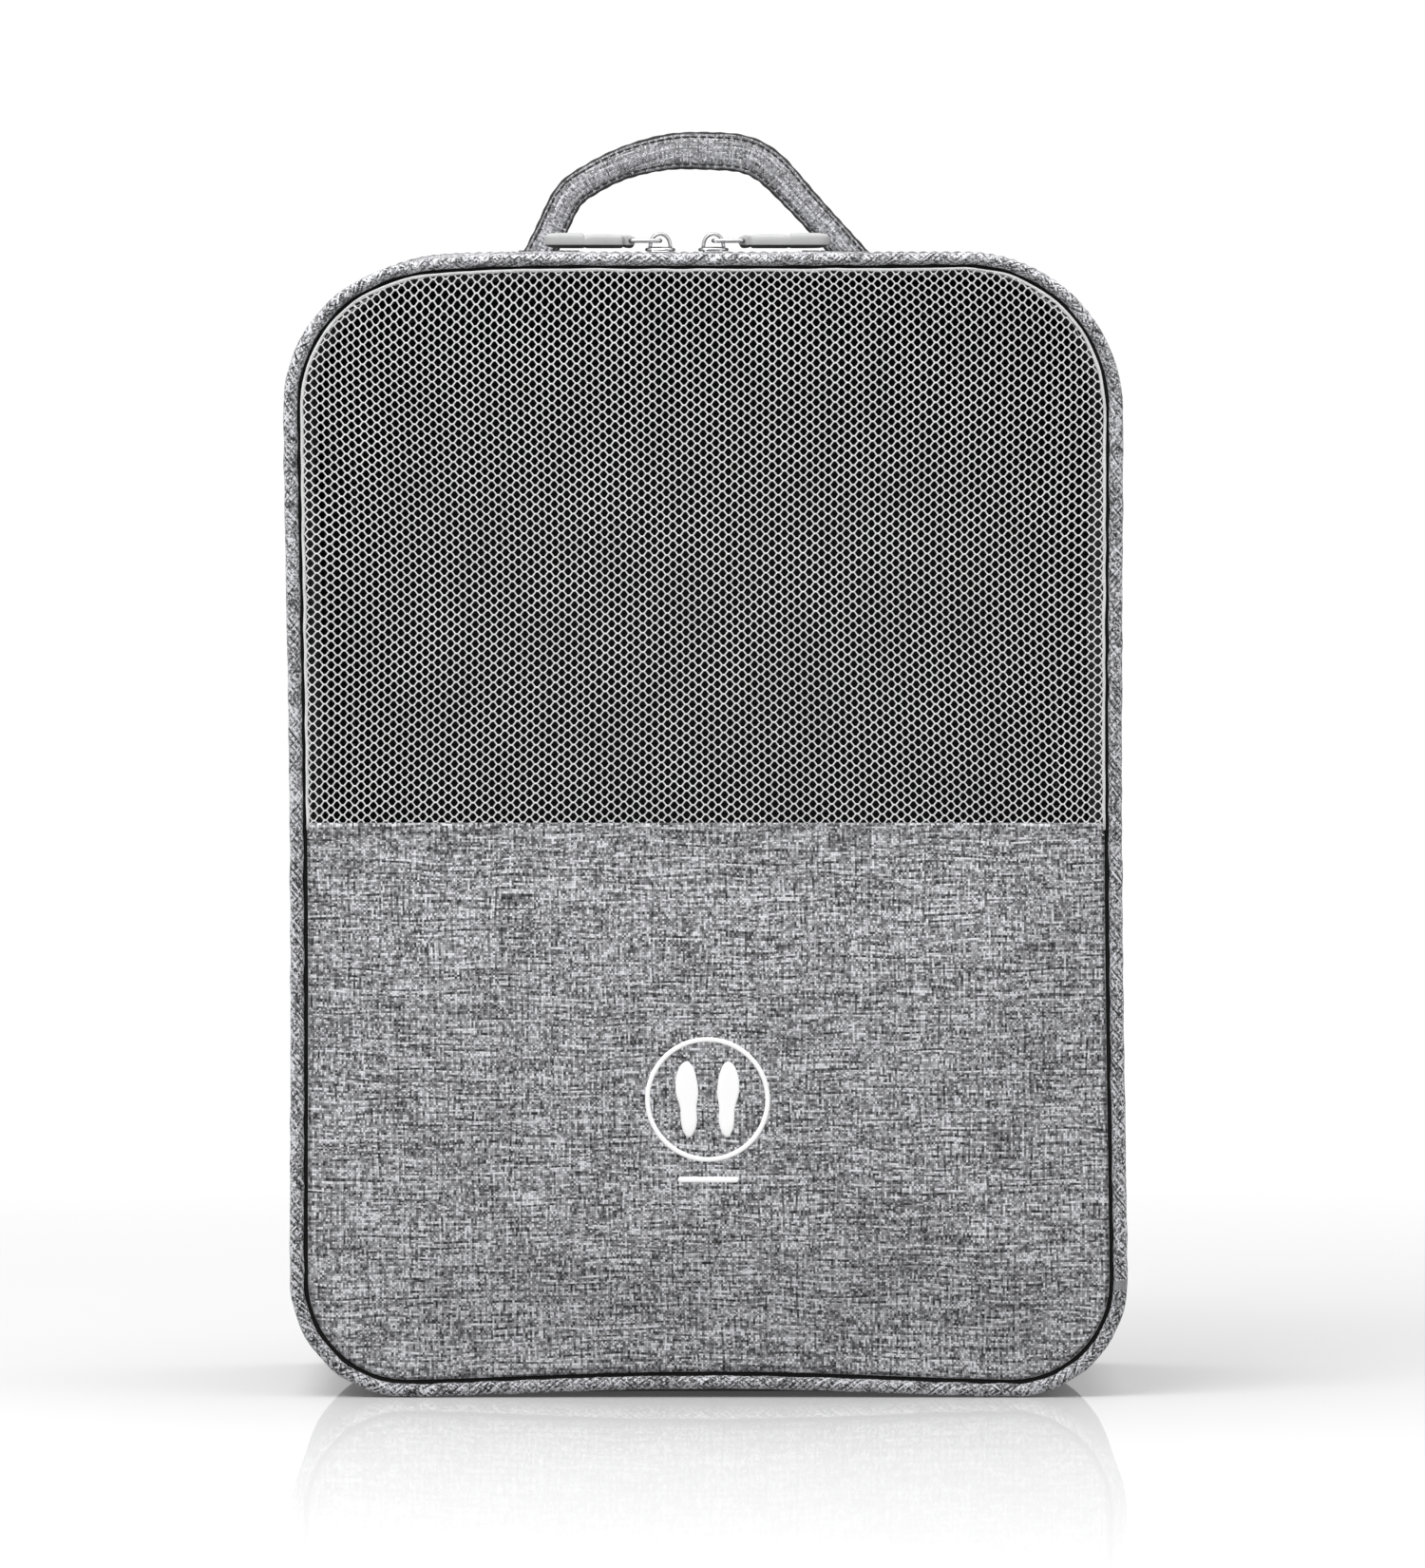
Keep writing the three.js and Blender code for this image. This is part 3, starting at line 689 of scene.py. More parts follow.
HEATHER = heather_cloth("heather cloth", mean=0.45, contrast=1.48)
HEATHER_BIAS = heather_cloth("bias heather cloth", mean=0.84, contrast=2.0, bias=math.pi / 4, pitch=0.5 * MM)
HEATHER_BAND = heather_cloth("handle heather cloth", mean=0.47, contrast=1.0, pitch=0.45 * MM)
NET = knit_net("knitted net", 0.95)
FOAM = soft_foam("foam", 0.72)
LINING = plain_cloth("dark lining", 0.035, pitch=0.6 * MM, tint=(1.0, 1.02, 1.06), sheen=0.05)
DIVIDER_CLOTH = plain_cloth("divider cloth", 0.004, tint=(1.0, 1.02, 1.06), sheen=0.0)
BINDING = plain_cloth("binding tape", 0.014, rib=1.1 * MM)
# Near-black cloth for the strip beside the piping: painted shade of the seam's gap.
SEAM_SHADE = plain_cloth("painted seam gap", 0.006, sheen=0.0)
TAPE = plain_cloth("zip tape", 0.62, pitch=0.4 * MM, rib=0.8 * MM)
COIL = nylon_coil("zip coil", 0.55)
METAL = plated_metal("plated metal")
# Below this height the tabs are painted near-black: painted shade under the tab.
RUBBER = moulded_rubber("pull rubber", 0.46, painted_underside_shade=0.02, shade_line_height=PULL_HEIGHT - 1.15 * MM)
THREAD = plain_cloth("grey thread", 0.34, pitch=0.15 * MM, roughness=0.6)
DARK_THREAD = plain_cloth("dark thread", 0.03, pitch=0.15 * MM, roughness=0.6)
INNER_THREAD = plain_cloth("inner thread", 0.06, pitch=0.15 * MM, roughness=0.6)
PRINT = raised_print("white print")
SATIN = plain_cloth("label satin", 0.8, pitch=0.2 * MM, roughness=0.4)
HOOKS = plain_cloth("hook tape", 0.02, pitch=0.8 * MM, roughness=0.6)
BOARD = sheet_board("board", 0.12)

# The materials that belong to each of the part's slots, and the slot of each material by its name.
SLOT_MATERIALS = {
    "heather_fabric": [HEATHER, HEATHER_BAND, THREAD, DARK_THREAD],
    "piping_fabric": [HEATHER_BIAS],
    "mesh_knit": [NET],
    "foam": [FOAM],
    "lining_fabric": [LINING, DIVIDER_CLOTH, INNER_THREAD],
    "binding_tape": [BINDING, SEAM_SHADE],
    "zip_tape": [TAPE],
    "zip_coil": [COIL],
    "slider_metal": [METAL],
    "pull_rubber": [RUBBER],
    "white_print": [PRINT],
    "label_satin": [SATIN],
    "hook_tape": [HOOKS],
}
SLOTS = {material.name: slot for slot, group in SLOT_MATERIALS.items() for material in group}


# ---------------------------------------------------------------- stitches and wires

def tube(points, radius, sides=8, closed=False):
    """A round wire through points. Returns its mesh points and faces."""
    p = np.array(points, float)
    ahead, behind = np.roll(p, -1, 0), np.roll(p, 1, 0)
    if not closed:
        ahead[-1], behind[0] = p[-1], p[0]
    tangent = unit(ahead - behind)
    guide = np.array([0.0, 0.0, 1.0]) if abs(tangent[:, 2]).max() < 0.9 else np.array([0.0, 1.0, 0.0])
    side = unit(np.cross(tangent, guide))
    up = np.cross(side, tangent)
    angle = full_turn(sides)
    radius = np.broadcast_to(radius, len(p))[:, None, None]
    spokes = side[:, None] * np.cos(angle)[None, :, None] + up[:, None] * np.sin(angle)[None, :, None]
    mesh_points = (p[:, None] + radius * spokes).reshape(-1, 3)
    return mesh_points, grid_faces(len(p), sides, close_rows=closed, close_columns=True, caps=not closed)


def stitches(name, path, normals, body, material, pitch=3.2 * MM, radius=0.24 * MM):
    """A row of thread stitches along a path of 3-D points, each a short arched bead."""
    length = running_length(path)
    count = int(length[-1] / pitch)
    stations, sides = 6, 6
    thread_share = 0.80  # the rest of each pitch is the gap between two stitches
    t = np.linspace(0, 1, stations)
    s = (np.arange(count)[:, None] + 0.5 + (t[None, :] - 0.5) * thread_share) * pitch
    out = unit(along_path(s, length, normals))
    ahead, behind = along_path(s + 0.1 * MM, length, path), along_path(s - 0.1 * MM, length, path)
    side = np.cross(unit(ahead - behind), out)
    lift = (np.sin(math.pi * t) * 1.1 - 0.75) * radius
    girth = radius * (0.55 + 0.45 * np.sin(math.pi * t))
    angle = full_turn(sides)
    centre = along_path(s, length, path) + out * lift[None, :, None]
    around = (side[:, :, None] * np.cos(angle)[None, None, :, None]
              + out[:, :, None] * np.sin(angle)[None, None, :, None])
    points = centre[:, :, None] + around * girth[None, :, None, None]
    faces = []
    for first in range(0, count * stations * sides, stations * sides):
        faces += grid_faces(stations, sides, close_columns=True, caps=True, first=first)
    spread = np.broadcast_to(s[:, :, None], points.shape[:3])
    turn = np.broadcast_to(angle[None, None, :] * radius, points.shape[:3])
    weave = np.stack([spread, turn, np.zeros(points.shape[:3])], -1).reshape(-1, 3)
    return make_piece(name, points.reshape(-1, 3), faces, weave, body, material)


def outline_stitches(name, kind, inset, y, body, material=None, low=FOOT + 3 * MM):
    """Stitches that follow the outline, just proud of a surface at this inset."""
    points, normals, _ = outline(kind, inset, low)
    path = soften(np.column_stack([points[:, 0], np.full(len(points), y), points[:, 1]]))
    out = np.column_stack([normals[:, 0], np.zeros(len(points)), normals[:, 1]])
    return stitches(name, path, out, body, material or THREAD)


# ---------------------------------------------------------------- flat faces of cloth

def face_rows(inset, low, high, spacing):
    """Heights of the rows of a face grid: close together round the corners and along the edges."""
    turn = np.radians(np.arange(0, 90, 7.5))
    rows = []
    if low is None:
        rows += list(inset + (BASE_RADIUS - inset) * (1 - np.cos(turn)))
        low_flat = BASE_RADIUS
    else:
        rows += [low, low + 0.4 * MM, low + 1.0 * MM, low + 2.0 * MM]
        low_flat = low + 4 * MM
    high_flat = HEIGHT - TOP_RADIUS if high is None else high - 4 * MM
    rows += list(np.linspace(low_flat, high_flat, math.ceil((high_flat - low_flat) / spacing) + 1))
    if high is None:
        rows += list(HEIGHT - inset - (TOP_RADIUS - inset) * (1 - np.cos(turn[::-1])))
    else:
        rows += [high - 2.0 * MM, high - 1.0 * MM, high - 0.4 * MM, high]
    return np.array(rows)


def face_grid(inset, low=None, high=None, spacing=4 * MM):
    """X and height of a grid that fills the face between two heights. None means the rounded end."""
    z = face_rows(inset, low, high, spacing)
    border = np.array([0, 0.35, 0.8, 1.4, 2.2, 3.4, 5.0]) * MM
    inner = math.ceil((2 * HALF_WIDTH - 4 * border[-1]) / spacing)
    width = half_width(z, inset)[:, None]
    share = np.linspace(-1, 1, inner + 2)[1:-1]
    left = -width + border[None, :]
    middle = (width - border[-1]) * share[None, :]
    x = np.hstack([left, middle, -left[:, ::-1]])
    return x, np.broadcast_to(z[:, None], x.shape).copy()


def face_piece(name, inset, y, relief, thickness, low=None, high=None, facing=-1, shape=soften, **piece):
    """A sheet that fills the face. relief(x, z, depth) is how far it stands out, towards facing * Y,
    and shape then bends the whole."""
    x, z = face_grid(inset, low, high)
    depth = depth_inside(x, z, inset)
    out = relief(x, z, depth)
    points = np.stack([x, y + facing * out, z], -1)
    # 1 at the seam, 0 inside it: the cloth is painted darker there as shade.
    painted_seam_darkening = 1 - smooth(0.0, 1.3 * MM, depth)
    weave = np.stack([x, z, painted_seam_darkening], -1).reshape(-1, 3)
    faces = grid_faces(*x.shape)
    if facing > 0:
        faces = [face[::-1] for face in faces]
    made = make_piece(name, shape(points), faces, weave, outward=False, **piece)
    return thicken(made, thickness, offset=-1.0)


def seam_roll(depth, drop=1.5 * MM, reach=1.6 * MM):
    """How far cloth turns down into the seam, close to its edge."""
    return -drop * (1 - smooth(0, reach, depth)) ** 1.5


panel_cloth = billow(2 * HALF_WIDTH, SILL, pressure=2.2, slack=0.012, seed=1)
back_cloth = billow(2 * HALF_WIDTH, HEIGHT, pressure=2.2, slack=0.010, seed=2)
divider_cloth = billow(2 * HALF_WIDTH, HEIGHT, pressure=2.0, slack=0.012, seed=4)


def cloth_height(sample, x, z, high):
    return sample((x + HALF_WIDTH) / (2 * HALF_WIDTH), z / high)


def lower_panel_relief(x, z, depth):
    """The padded fabric half: crowned, creased a little, puckered near its seams."""
    crown = 0.8 * cloth_height(panel_cloth, x, z, SILL + 30 * MM) * smooth(0, 34 * MM, depth)
    crown = crown * (0.3 + 0.7 * smooth(0, 50 * MM, SILL - z))
    small = 0.20 * MM * pucker(x, z) * np.exp(-depth / (14 * MM))
    soft = 0.45 * MM * crease(x, z)
    below_sill = SILL - z
    hem_ridge = 0.45 * MM * smooth(2.2 * MM, 0.8 * MM, below_sill)
    hem_turn = 1.1 * MM * (1 - smooth(0, 0.8 * MM, below_sill)) ** 2
    return crown + (small + soft) * smooth(0, 3 * MM, depth) + seam_roll(depth) + hem_ridge - hem_turn


def flat_relief(x, z, depth):
    return 0.15 * MM * crease(x, z) * smooth(0, 6 * MM, depth)


def lining_relief(x, z, depth):
    """Lining hangs in slow waves and puckers where it is sewn in."""
    near_seam = np.exp(-np.minimum(depth, np.abs(SILL - z)) / (10 * MM))
    return (0.4 * MM * crease(x + 3, z) + 0.3 * MM * pucker(x, z) * near_seam) * smooth(0, 4 * MM, depth)


def back_relief(x, z, depth):
    crown = 0.8 * cloth_height(back_cloth, x, z, HEIGHT) * smooth(0, 48 * MM, depth)
    small = 0.18 * MM * pucker(x + 1, z) * np.exp(-depth / (14 * MM))
    return crown + small * smooth(0, 3 * MM, depth) + 0.3 * MM * crease(x + 1, z) + seam_roll(depth)


# ---------------------------------------------------------------- the mesh window

HOLE_PITCH = 3.5 * MM  # between holes of one row
ROW_PITCH = 1.36 * MM  # between rows, each moved half a hole sideways
HOLE_SHARE = np.array([0.84, 0.80])  # a hole's size as a share of its cell, across and up
HOLE_TIP = 0.92  # the holes' side points are drawn in this much more
STRAND_DEPTH = 0.42 * MM
WINDOW_EDGE = SEAM + 1.35 * MM  # where the net goes into its edge band


def window_relief(x, z):
    """The net is stretched, with a few slow waves."""
    hang = arch_shape(x / HALF_WIDTH) * arch_shape((z - (SILL + HEIGHT) / 2) / (0.55 * (HEIGHT - SILL)))
    return 1.1 * MM * hang + 0.22 * MM * crease(x + 2, z)


def net_cells():
    """Centres of the holes that lie inside the window."""
    rows = math.ceil((HEIGHT - SILL) / ROW_PITCH) + 4
    columns = math.ceil(HALF_WIDTH / HOLE_PITCH) + 1
    j, i = np.meshgrid(np.arange(rows), np.arange(-columns, columns + 1), indexing="ij")
    x = (i + 0.5 * (j % 2)) * HOLE_PITCH
    z = SILL - 2.2 * MM + j * ROW_PITCH
    keep = depth_inside(x, z, WINDOW_EDGE) > -0.6 * HOLE_PITCH
    return x[keep], z[keep]


def net_drift(x, z):
    """Rows of holes wander a little, as knitted net does when it is sewn in."""
    x = x + 0.7 * MM * np.sin(z / (23 * MM) + 1.1) * np.sin(x / (61 * MM))
    z = z + 0.8 * MM * np.sin(x / (31 * MM) + 0.4) + 0.5 * MM * np.sin(x / (74 * MM) + z / (55 * MM))
    return x, z


def net_lattice():
    """The flat net: six-sided cells that share their outer corners, each with a six-sided hole.
    Returns its points, how far back each lies (0 to 1), and its faces."""
    cx, cz = net_cells()
    flat_x = ((HOLE_PITCH / 2) ** 2 + ROW_PITCH**2) / HOLE_PITCH  # where slanted edges meet on the row line
    short_x = ((HOLE_PITCH / 2) ** 2 - ROW_PITCH**2) / HOLE_PITCH
    cell = np.array([(flat_x, 0), (short_x, ROW_PITCH), (-short_x, ROW_PITCH),
                     (-flat_x, 0), (-short_x, -ROW_PITCH), (short_x, -ROW_PITCH)])
    hole = cell * HOLE_SHARE
    hole[[0, 3]] *= HOLE_TIP
    centres = np.column_stack([cx, cz])
    layers = []
    for loop, y in ((cell, -STRAND_DEPTH / 2), (hole, 0.0), (cell, STRAND_DEPTH / 2)):
        xz = (centres[:, None] + loop[None]).reshape(-1, 2)
        layers.append(np.column_stack([xz[:, 0], np.full(len(xz), y), xz[:, 1]]))
    points = np.vstack(layers)
    sides = len(cell)
    behind = np.repeat([0.0, 0.55, 1.0], sides * len(cx))
    front = np.arange(len(cx))[:, None] * sides + np.arange(sides)
    middle, back = front + sides * len(cx), front + 2 * sides * len(cx)
    turn = np.roll(np.arange(sides), -1)
    quads = np.concatenate([
        np.stack([front, front[:, turn], middle[:, turn], middle], -1).reshape(-1, 4),
        np.stack([middle, middle[:, turn], back[:, turn], back], -1).reshape(-1, 4),
    ])
    place = np.round(points / (0.02 * MM)).astype(np.int64)
    _, kept, shared = np.unique(place, axis=0, return_index=True, return_inverse=True)
    return points[kept], behind[kept], shared.reshape(-1)[quads]


def net_window():
    """The net, gathered in at the window's edge, drifting a little inside it, and sewn to the flap."""
    points, behind, quads = net_lattice()
    x, z = points[:, 0].copy(), points[:, 2].copy()
    outside = np.minimum(np.clip(-depth_inside(x, z, WINDOW_EDGE), 0, None), 3 * MM)
    x -= np.sign(x) * outside * (np.abs(x) > HALF_WIDTH - TOP_RADIUS)
    z -= outside * (z > HEIGHT - TOP_RADIUS)
    weave = np.column_stack([x, z, behind])
    free = smooth(0, 14 * MM, depth_inside(x, z, WINDOW_EDGE))
    drifted_x, drifted_z = net_drift(x, z)
    x, z = x + (drifted_x - x) * free, z + (drifted_z - z) * free
    y = PANEL_FRONT + 0.35 * MM + points[:, 1] - window_relief(x, z)
    make_piece("mesh_net", soften(np.column_stack([x, y, z])), quads.tolist(), weave,
               "front_flap", NET, replaces=["mesh_window"])


net_window()


def window_band():
    """The net's knitted edge: flat, uneven, set a little inside the dark seam."""
    section = slab(WINDOW_EDGE - 0.45 * MM, WINDOW_EDGE + 0.35 * MM,
                   PANEL_FRONT + 0.10 * MM, PANEL_FRONT + 0.6 * MM, roll=0.2 * MM)

    def knots(length, y, inset):
        wave = np.sin(length * 2 * math.pi / (1.9 * MM) + 3 * np.sin(length / (11 * MM)))
        return -0.3 * MM * np.clip(wave, 0, 1) * (inset > WINDOW_EDGE) + 0.1 * MM * pucker(length, y)

    strip("window_edge_band", "arch", section, low=SILL - 2 * MM, relief=knots,
          body="front_flap", material=NET)


window_band()


# ---------------------------------------------------------------- the flap

def cord_relief(length, y, inset):
    """Piping is never quite even: its cover puckers over the cord."""
    gathers = np.sin(length / (1.9 * MM) + 2.2 * np.sin(length / (23 * MM)))
    return 0.09 * MM * gathers + 0.10 * MM * pucker(length, y)


def cloth_relief(length, y, inset):
    """Soft waves along a gusset strip."""
    return 0.55 * MM * crease(length, y) + 0.12 * MM * pucker(length, y)


def rim_relief(length, y, inset):
    """The rim lies flat where it is sewn to the piping and to the zip."""
    middle = (FRONT + 2 * PIPING_RADIUS + RIM_BACK) / 2
    return 0.5 * cloth_relief(length, y, inset) * arch_shape((y - middle) / (RIM_BACK - middle))


def piping(name, y, body):
    section = round_section(PIPING_RADIUS, y, PIPING_RADIUS, sides=20)
    strip(name, "ring", section, relief=cord_relief, body=body, material=HEATHER_BIAS,
          replaces=[name])


def painted_seam_gap(name, y, body):
    """A near-black strip beside the piping: painted shade for the dark gap of the seam."""
    section = slab(SEAM - 1.6 * MM, SEAM + 1.7 * MM, y - 0.4 * MM, y + 0.4 * MM)
    strip(name, "ring", section, body=body, material=SEAM_SHADE)


def layer(name, node, kind, thickness, body, material, spacing=4 * MM, relief=None):
    """A strip of cloth in the place of a CAD node that reaches the bag's sides."""
    low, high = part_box(node)
    outer = HALF_WIDTH - high.x
    section = slab(outer, outer + thickness, low.y, high.y, spacing)
    strip(name, kind, section, relief=relief, body=body, material=material, replaces=[node])


piping("front_piping", FRONT + PIPING_RADIUS, "front_flap")
painted_seam_gap("front_painted_seam_gap", FRONT + 2.6 * MM, "front_flap")

foam_low, foam_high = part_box("front_lower_foam")
lining_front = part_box("front_lower_lining")[0].y
face_piece("lower_panel_cloth", SEAM + 0.8 * MM, PANEL_FACE, lower_panel_relief, 0.8 * MM, high=SILL,
           body="front_flap", material=HEATHER, replaces=["front_lower_panel"])
face_piece("lower_panel_foam", SEAM + 1.2 * MM, foam_low.y, flat_relief, 2.2 * MM, high=foam_high.z,
           body="front_flap", material=FOAM, replaces=["front_lower_foam"])
face_piece("lower_panel_lining", SEAM + 0.8 * MM, lining_front + 0.9 * MM, lining_relief, 0.6 * MM,
           high=SILL - 0.4 * MM, facing=1,
           body="front_flap", material=LINING, replaces=["front_lower_lining"])


def hem_tape():
    """Folded tape behind the top edge of the fabric panel."""
    low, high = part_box("window_hem_tape")
    depth, height = high.y - low.y, high.z - low.z
    xs = np.linspace(low.x + 1 * MM, high.x - 1 * MM, 60)
    # shares of the tape's depth and height
    profile = [(0.0, 0.0), (0.0, 1.0), (0.35, 1.06), (0.8, 1.0), (1.0, 0.9), (1.0, 0.05), (0.6, 0.0)]
    grid = np.array([[(x, low.y + a * depth, low.z + b * height) for a, b in profile] for x in xs])
    weave = np.array([[(x, b * height, 0.0) for a, b in profile] for x in xs])
    faces = grid_faces(len(xs), len(profile), close_columns=True, caps=True)
    make_piece("hem_tape", soften(grid), faces, weave.reshape(-1, 3), "front_flap", BINDING,
               replaces=["window_hem_tape"])


hem_tape()

RIM_SPACING = 2.5 * MM
layer("front_rim_cloth", "front_rim", "arch", 0.9 * MM, "front_flap", HEATHER, RIM_SPACING, rim_relief)
layer("front_rim_inner", "front_rim_lining", "arch", 0.5 * MM, "front_flap", LINING, RIM_SPACING)
layer("front_binding", "front_seam_binding", "arch", 2.4 * MM, "front_flap", BINDING)
outline_stitches("front_rim_stitches", "arch", -0.05 * MM, RIM_BACK - 1.8 * MM, "front_flap")

# ---------------------------------------------------------------- the zip

COIL_PITCH = 1.45 * MM


def zip_coil(name, toward, body, node):
    """A nylon spiral sewn along the tape's edge. toward is -1 for the flap's half, 1 for the bag's."""
    low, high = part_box(node)
    outer = HALF_WIDTH - high.x
    half_height = 0.80 * MM
    points, normals, length = outline("arch", outer + half_height + 0.5 * MM, low.z)
    turns = int(length[-1] / COIL_PITCH)
    per_turn = 12
    s = np.arange(turns * per_turn + 1) / per_turn * COIL_PITCH
    place = along_path(s, length, points)
    out = unit(along_path(s, length, normals))
    angle = 2 * math.pi * s / COIL_PITCH + (0 if toward > 0 else math.pi)
    half_width_coil = 1.75 * MM
    centre_y = ZIP_Y + toward * (half_width_coil - 0.45 * MM)
    radial_y, radial_n = np.cos(angle), np.sin(angle)
    centre = np.column_stack([
        place[:, 0] + out[:, 0] * half_height * radial_n,
        centre_y + half_width_coil * radial_y,
        place[:, 1] + out[:, 1] * half_height * radial_n,
    ])
    radial = np.column_stack([out[:, 0] * radial_n, radial_y, out[:, 1] * radial_n])
    tangent = np.column_stack([-out[:, 1], np.zeros(len(s)), out[:, 0]])
    sides, wire = 6, 0.36 * MM
    turn = full_turn(sides)
    spokes = (radial[:, None] * np.cos(turn)[None, :, None]
              + tangent[:, None] * np.sin(turn)[None, :, None])
    grid = centre[:, None] + spokes * wire
    weave = np.stack(np.broadcast_arrays(s[:, None], turn[None, :] * wire, 0.0), -1).reshape(-1, 3)
    faces = grid_faces(len(s), sides, close_columns=True, caps=True)
    make_piece(name, soften(grid), faces, weave, body, COIL, replaces=[node])


zip_coil("coil_front", -1, "front_flap", "zip_coil_front")
zip_coil("coil_rear", 1, "bag_body", "zip_coil_rear")


def zip_tape(name, toward, body, node):
    """Woven tape that runs from under the coil to beneath the cloth's folded edge."""
    low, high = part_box(node)
    outer = HALF_WIDTH - high.x + 0.2 * MM
    near = ZIP_Y + toward * 0.4 * MM
    far = low.y if toward < 0 else high.y
    section = slab(outer + 0.6 * MM, outer + 1.1 * MM, min(near, far), max(near, far),
                   spacing=1.5 * MM, roll=0.3 * MM)
    strip(name, "arch", section, low=low.z, body=body, material=TAPE, replaces=[node])


zip_tape("tape_front", -1, "front_flap", "zip_tape_front")
zip_tape("tape_rear", 1, "bag_body", "zip_tape_rear")


# ---------------------------------------------------------------- the bag's body

piping("rear_piping", BACK - PIPING_RADIUS, "bag_body")
painted_seam_gap("rear_painted_seam_gap", BACK - 2.6 * MM, "bag_body")

face_piece("back_cloth", SEAM + 0.1 * MM, BACK - 1.6 * MM, back_relief, 0.8 * MM, facing=1,
           body="bag_body", material=HEATHER, replaces=["back_panel"])
face_piece("back_padding", SEAM + 1.2 * MM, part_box("back_foam")[1].y - 0.4 * MM, flat_relief, 1.8 * MM,
           facing=1, body="bag_body", material=FOAM, replaces=["back_foam"])
face_piece("back_inner", SEAM + 0.8 * MM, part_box("back_lining")[0].y + 0.4 * MM, flat_relief, 0.6 * MM,
           body="bag_body", material=LINING, replaces=["back_lining"])

gusset_cloth = billow(0.72, 0.1, pressure=1.5, slack=0.012, spacing=6 * MM, seed=6)


def gusset_relief(length, y, inset):
    """The side strip sinks and creases between its two seams; its layers move together."""
    across = (y - GUSSET_FRONT) / (GUSSET_BACK - GUSSET_FRONT)
    along = length / (2 * (HEIGHT + HALF_WIDTH))
    along, across = np.broadcast_arrays(along, across)
    held = smooth(0, 8 * MM, y - GUSSET_FRONT) * smooth(0, 8 * MM, GUSSET_BACK - y)
    return (cloth_relief(length, y, 0) - 0.35 * gusset_cloth(along, across)) * held


layer("side_cloth", "side_gusset", "arch", 0.9 * MM, "bag_body", HEATHER, relief=gusset_relief)
layer("side_padding", "side_foam", "arch", 2.0 * MM, "bag_body", FOAM, relief=gusset_relief)
layer("side_inner", "side_lining", "arch", 0.5 * MM, "bag_body", LINING, relief=gusset_relief)
layer("bottom_cloth", "bottom_gusset", "cradle", 0.9 * MM, "bag_body", HEATHER)
layer("bottom_inner", "bottom_lining", "cradle", 0.5 * MM, "bag_body", LINING)
layer("rear_binding", "rear_seam_binding", "ring", 2.4 * MM, "bag_body", BINDING)


def flap_hinge():
    """The strip of lining that joins the flap to the base."""
    base_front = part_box("bottom_gusset")[0].y
    half = HALF_WIDTH - BASE_RADIUS + 6 * MM
    start_y, end_y = base_front - 0.2 * MM, FRONT + 2.4 * MM
    xs = np.linspace(-half, half, 60)
    ys = np.linspace(base_front + 1.5 * MM, FRONT + 1.6 * MM, 14)
    x, y = np.meshgrid(xs, ys, indexing="ij")
    z = 1.1 * MM + 0.5 * MM * smooth(start_y, end_y, y)
    weave = np.stack([x, y, 0 * x], -1).reshape(-1, 3)
    web = make_piece("flap_hinge_web", soften(np.stack([x, y, z], -1)), grid_faces(*x.shape), weave,
                     None, LINING, outward=False)
    thicken(web, 0.5 * MM, offset=0.0)
    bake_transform(web)


flap_hinge()
outline_stitches("side_stitches", "arch", -0.05 * MM, GUSSET_FRONT + 1.8 * MM, "bag_body")


# ---------------------------------------------------------------- the handle

# X, and height above the bag's top, of the band's centre line, in millimetres.
HANDLE_LINE = [
    (-44.5, 5), (-39, 16), (-32, 21.3), (-22.5, 25.8), (-10, 28.8),
    (4, 28.9), (11.5, 27.9), (17, 25.2), (22.3, 20.3), (36, 5.3),
]


def spline(points, per_span=10):
    """A uniform Catmull-Rom curve through points."""
    p = np.array(points, float)
    p = np.vstack([p[:1], p, p[-1:]])
    t = np.arange(per_span)[:, None] / per_span
    spans = []
    for a, b, c, d in zip(p[:-3], p[1:-2], p[2:-1], p[3:]):
        spans.append(0.5 * (2 * b + (c - a) * t + (2 * a - 5 * b + 4 * c - d) * t**2
                            + (3 * b - a - 3 * c + d) * t**3))
    return np.vstack(spans + [p[-1:]])


def leg_end(above, foot):
    """Carries a leg on in a straight line to just under the top cloth."""
    depth = 2.6  # millimetres, as in HANDLE_LINE
    share = (foot[1] + depth) / (above[1] - foot[1])
    return (foot[0] + (foot[0] - above[0]) * share, -depth)


# The band's section: place across it (-1 to 1), and its surface's height in millimetres. A ridge runs
# along each edge, then the stitched groove, then the padded middle.
HANDLE_SECTION = [
    (-1.0, 0.0), (-0.985, 0.60), (-0.93, 0.95), (-0.84, 1.05), (-0.76, 0.80), (-0.68, 1.30),
    (-0.5, 1.68), (-0.25, 1.88), (0.0, 1.95), (0.25, 1.88), (0.5, 1.68), (0.68, 1.30),
    (0.76, 0.80), (0.84, 1.05), (0.93, 0.95), (0.985, 0.60), (1.0, 0.0),
]
HANDLE_GROOVE = 0.76  # where the grooves lie, as a share of the half width


def joint_place(name):
    """Where a joint turns, in metres."""
    return next(joint for joint in frame["joints"] if joint["name"] == name)["pos_m"]


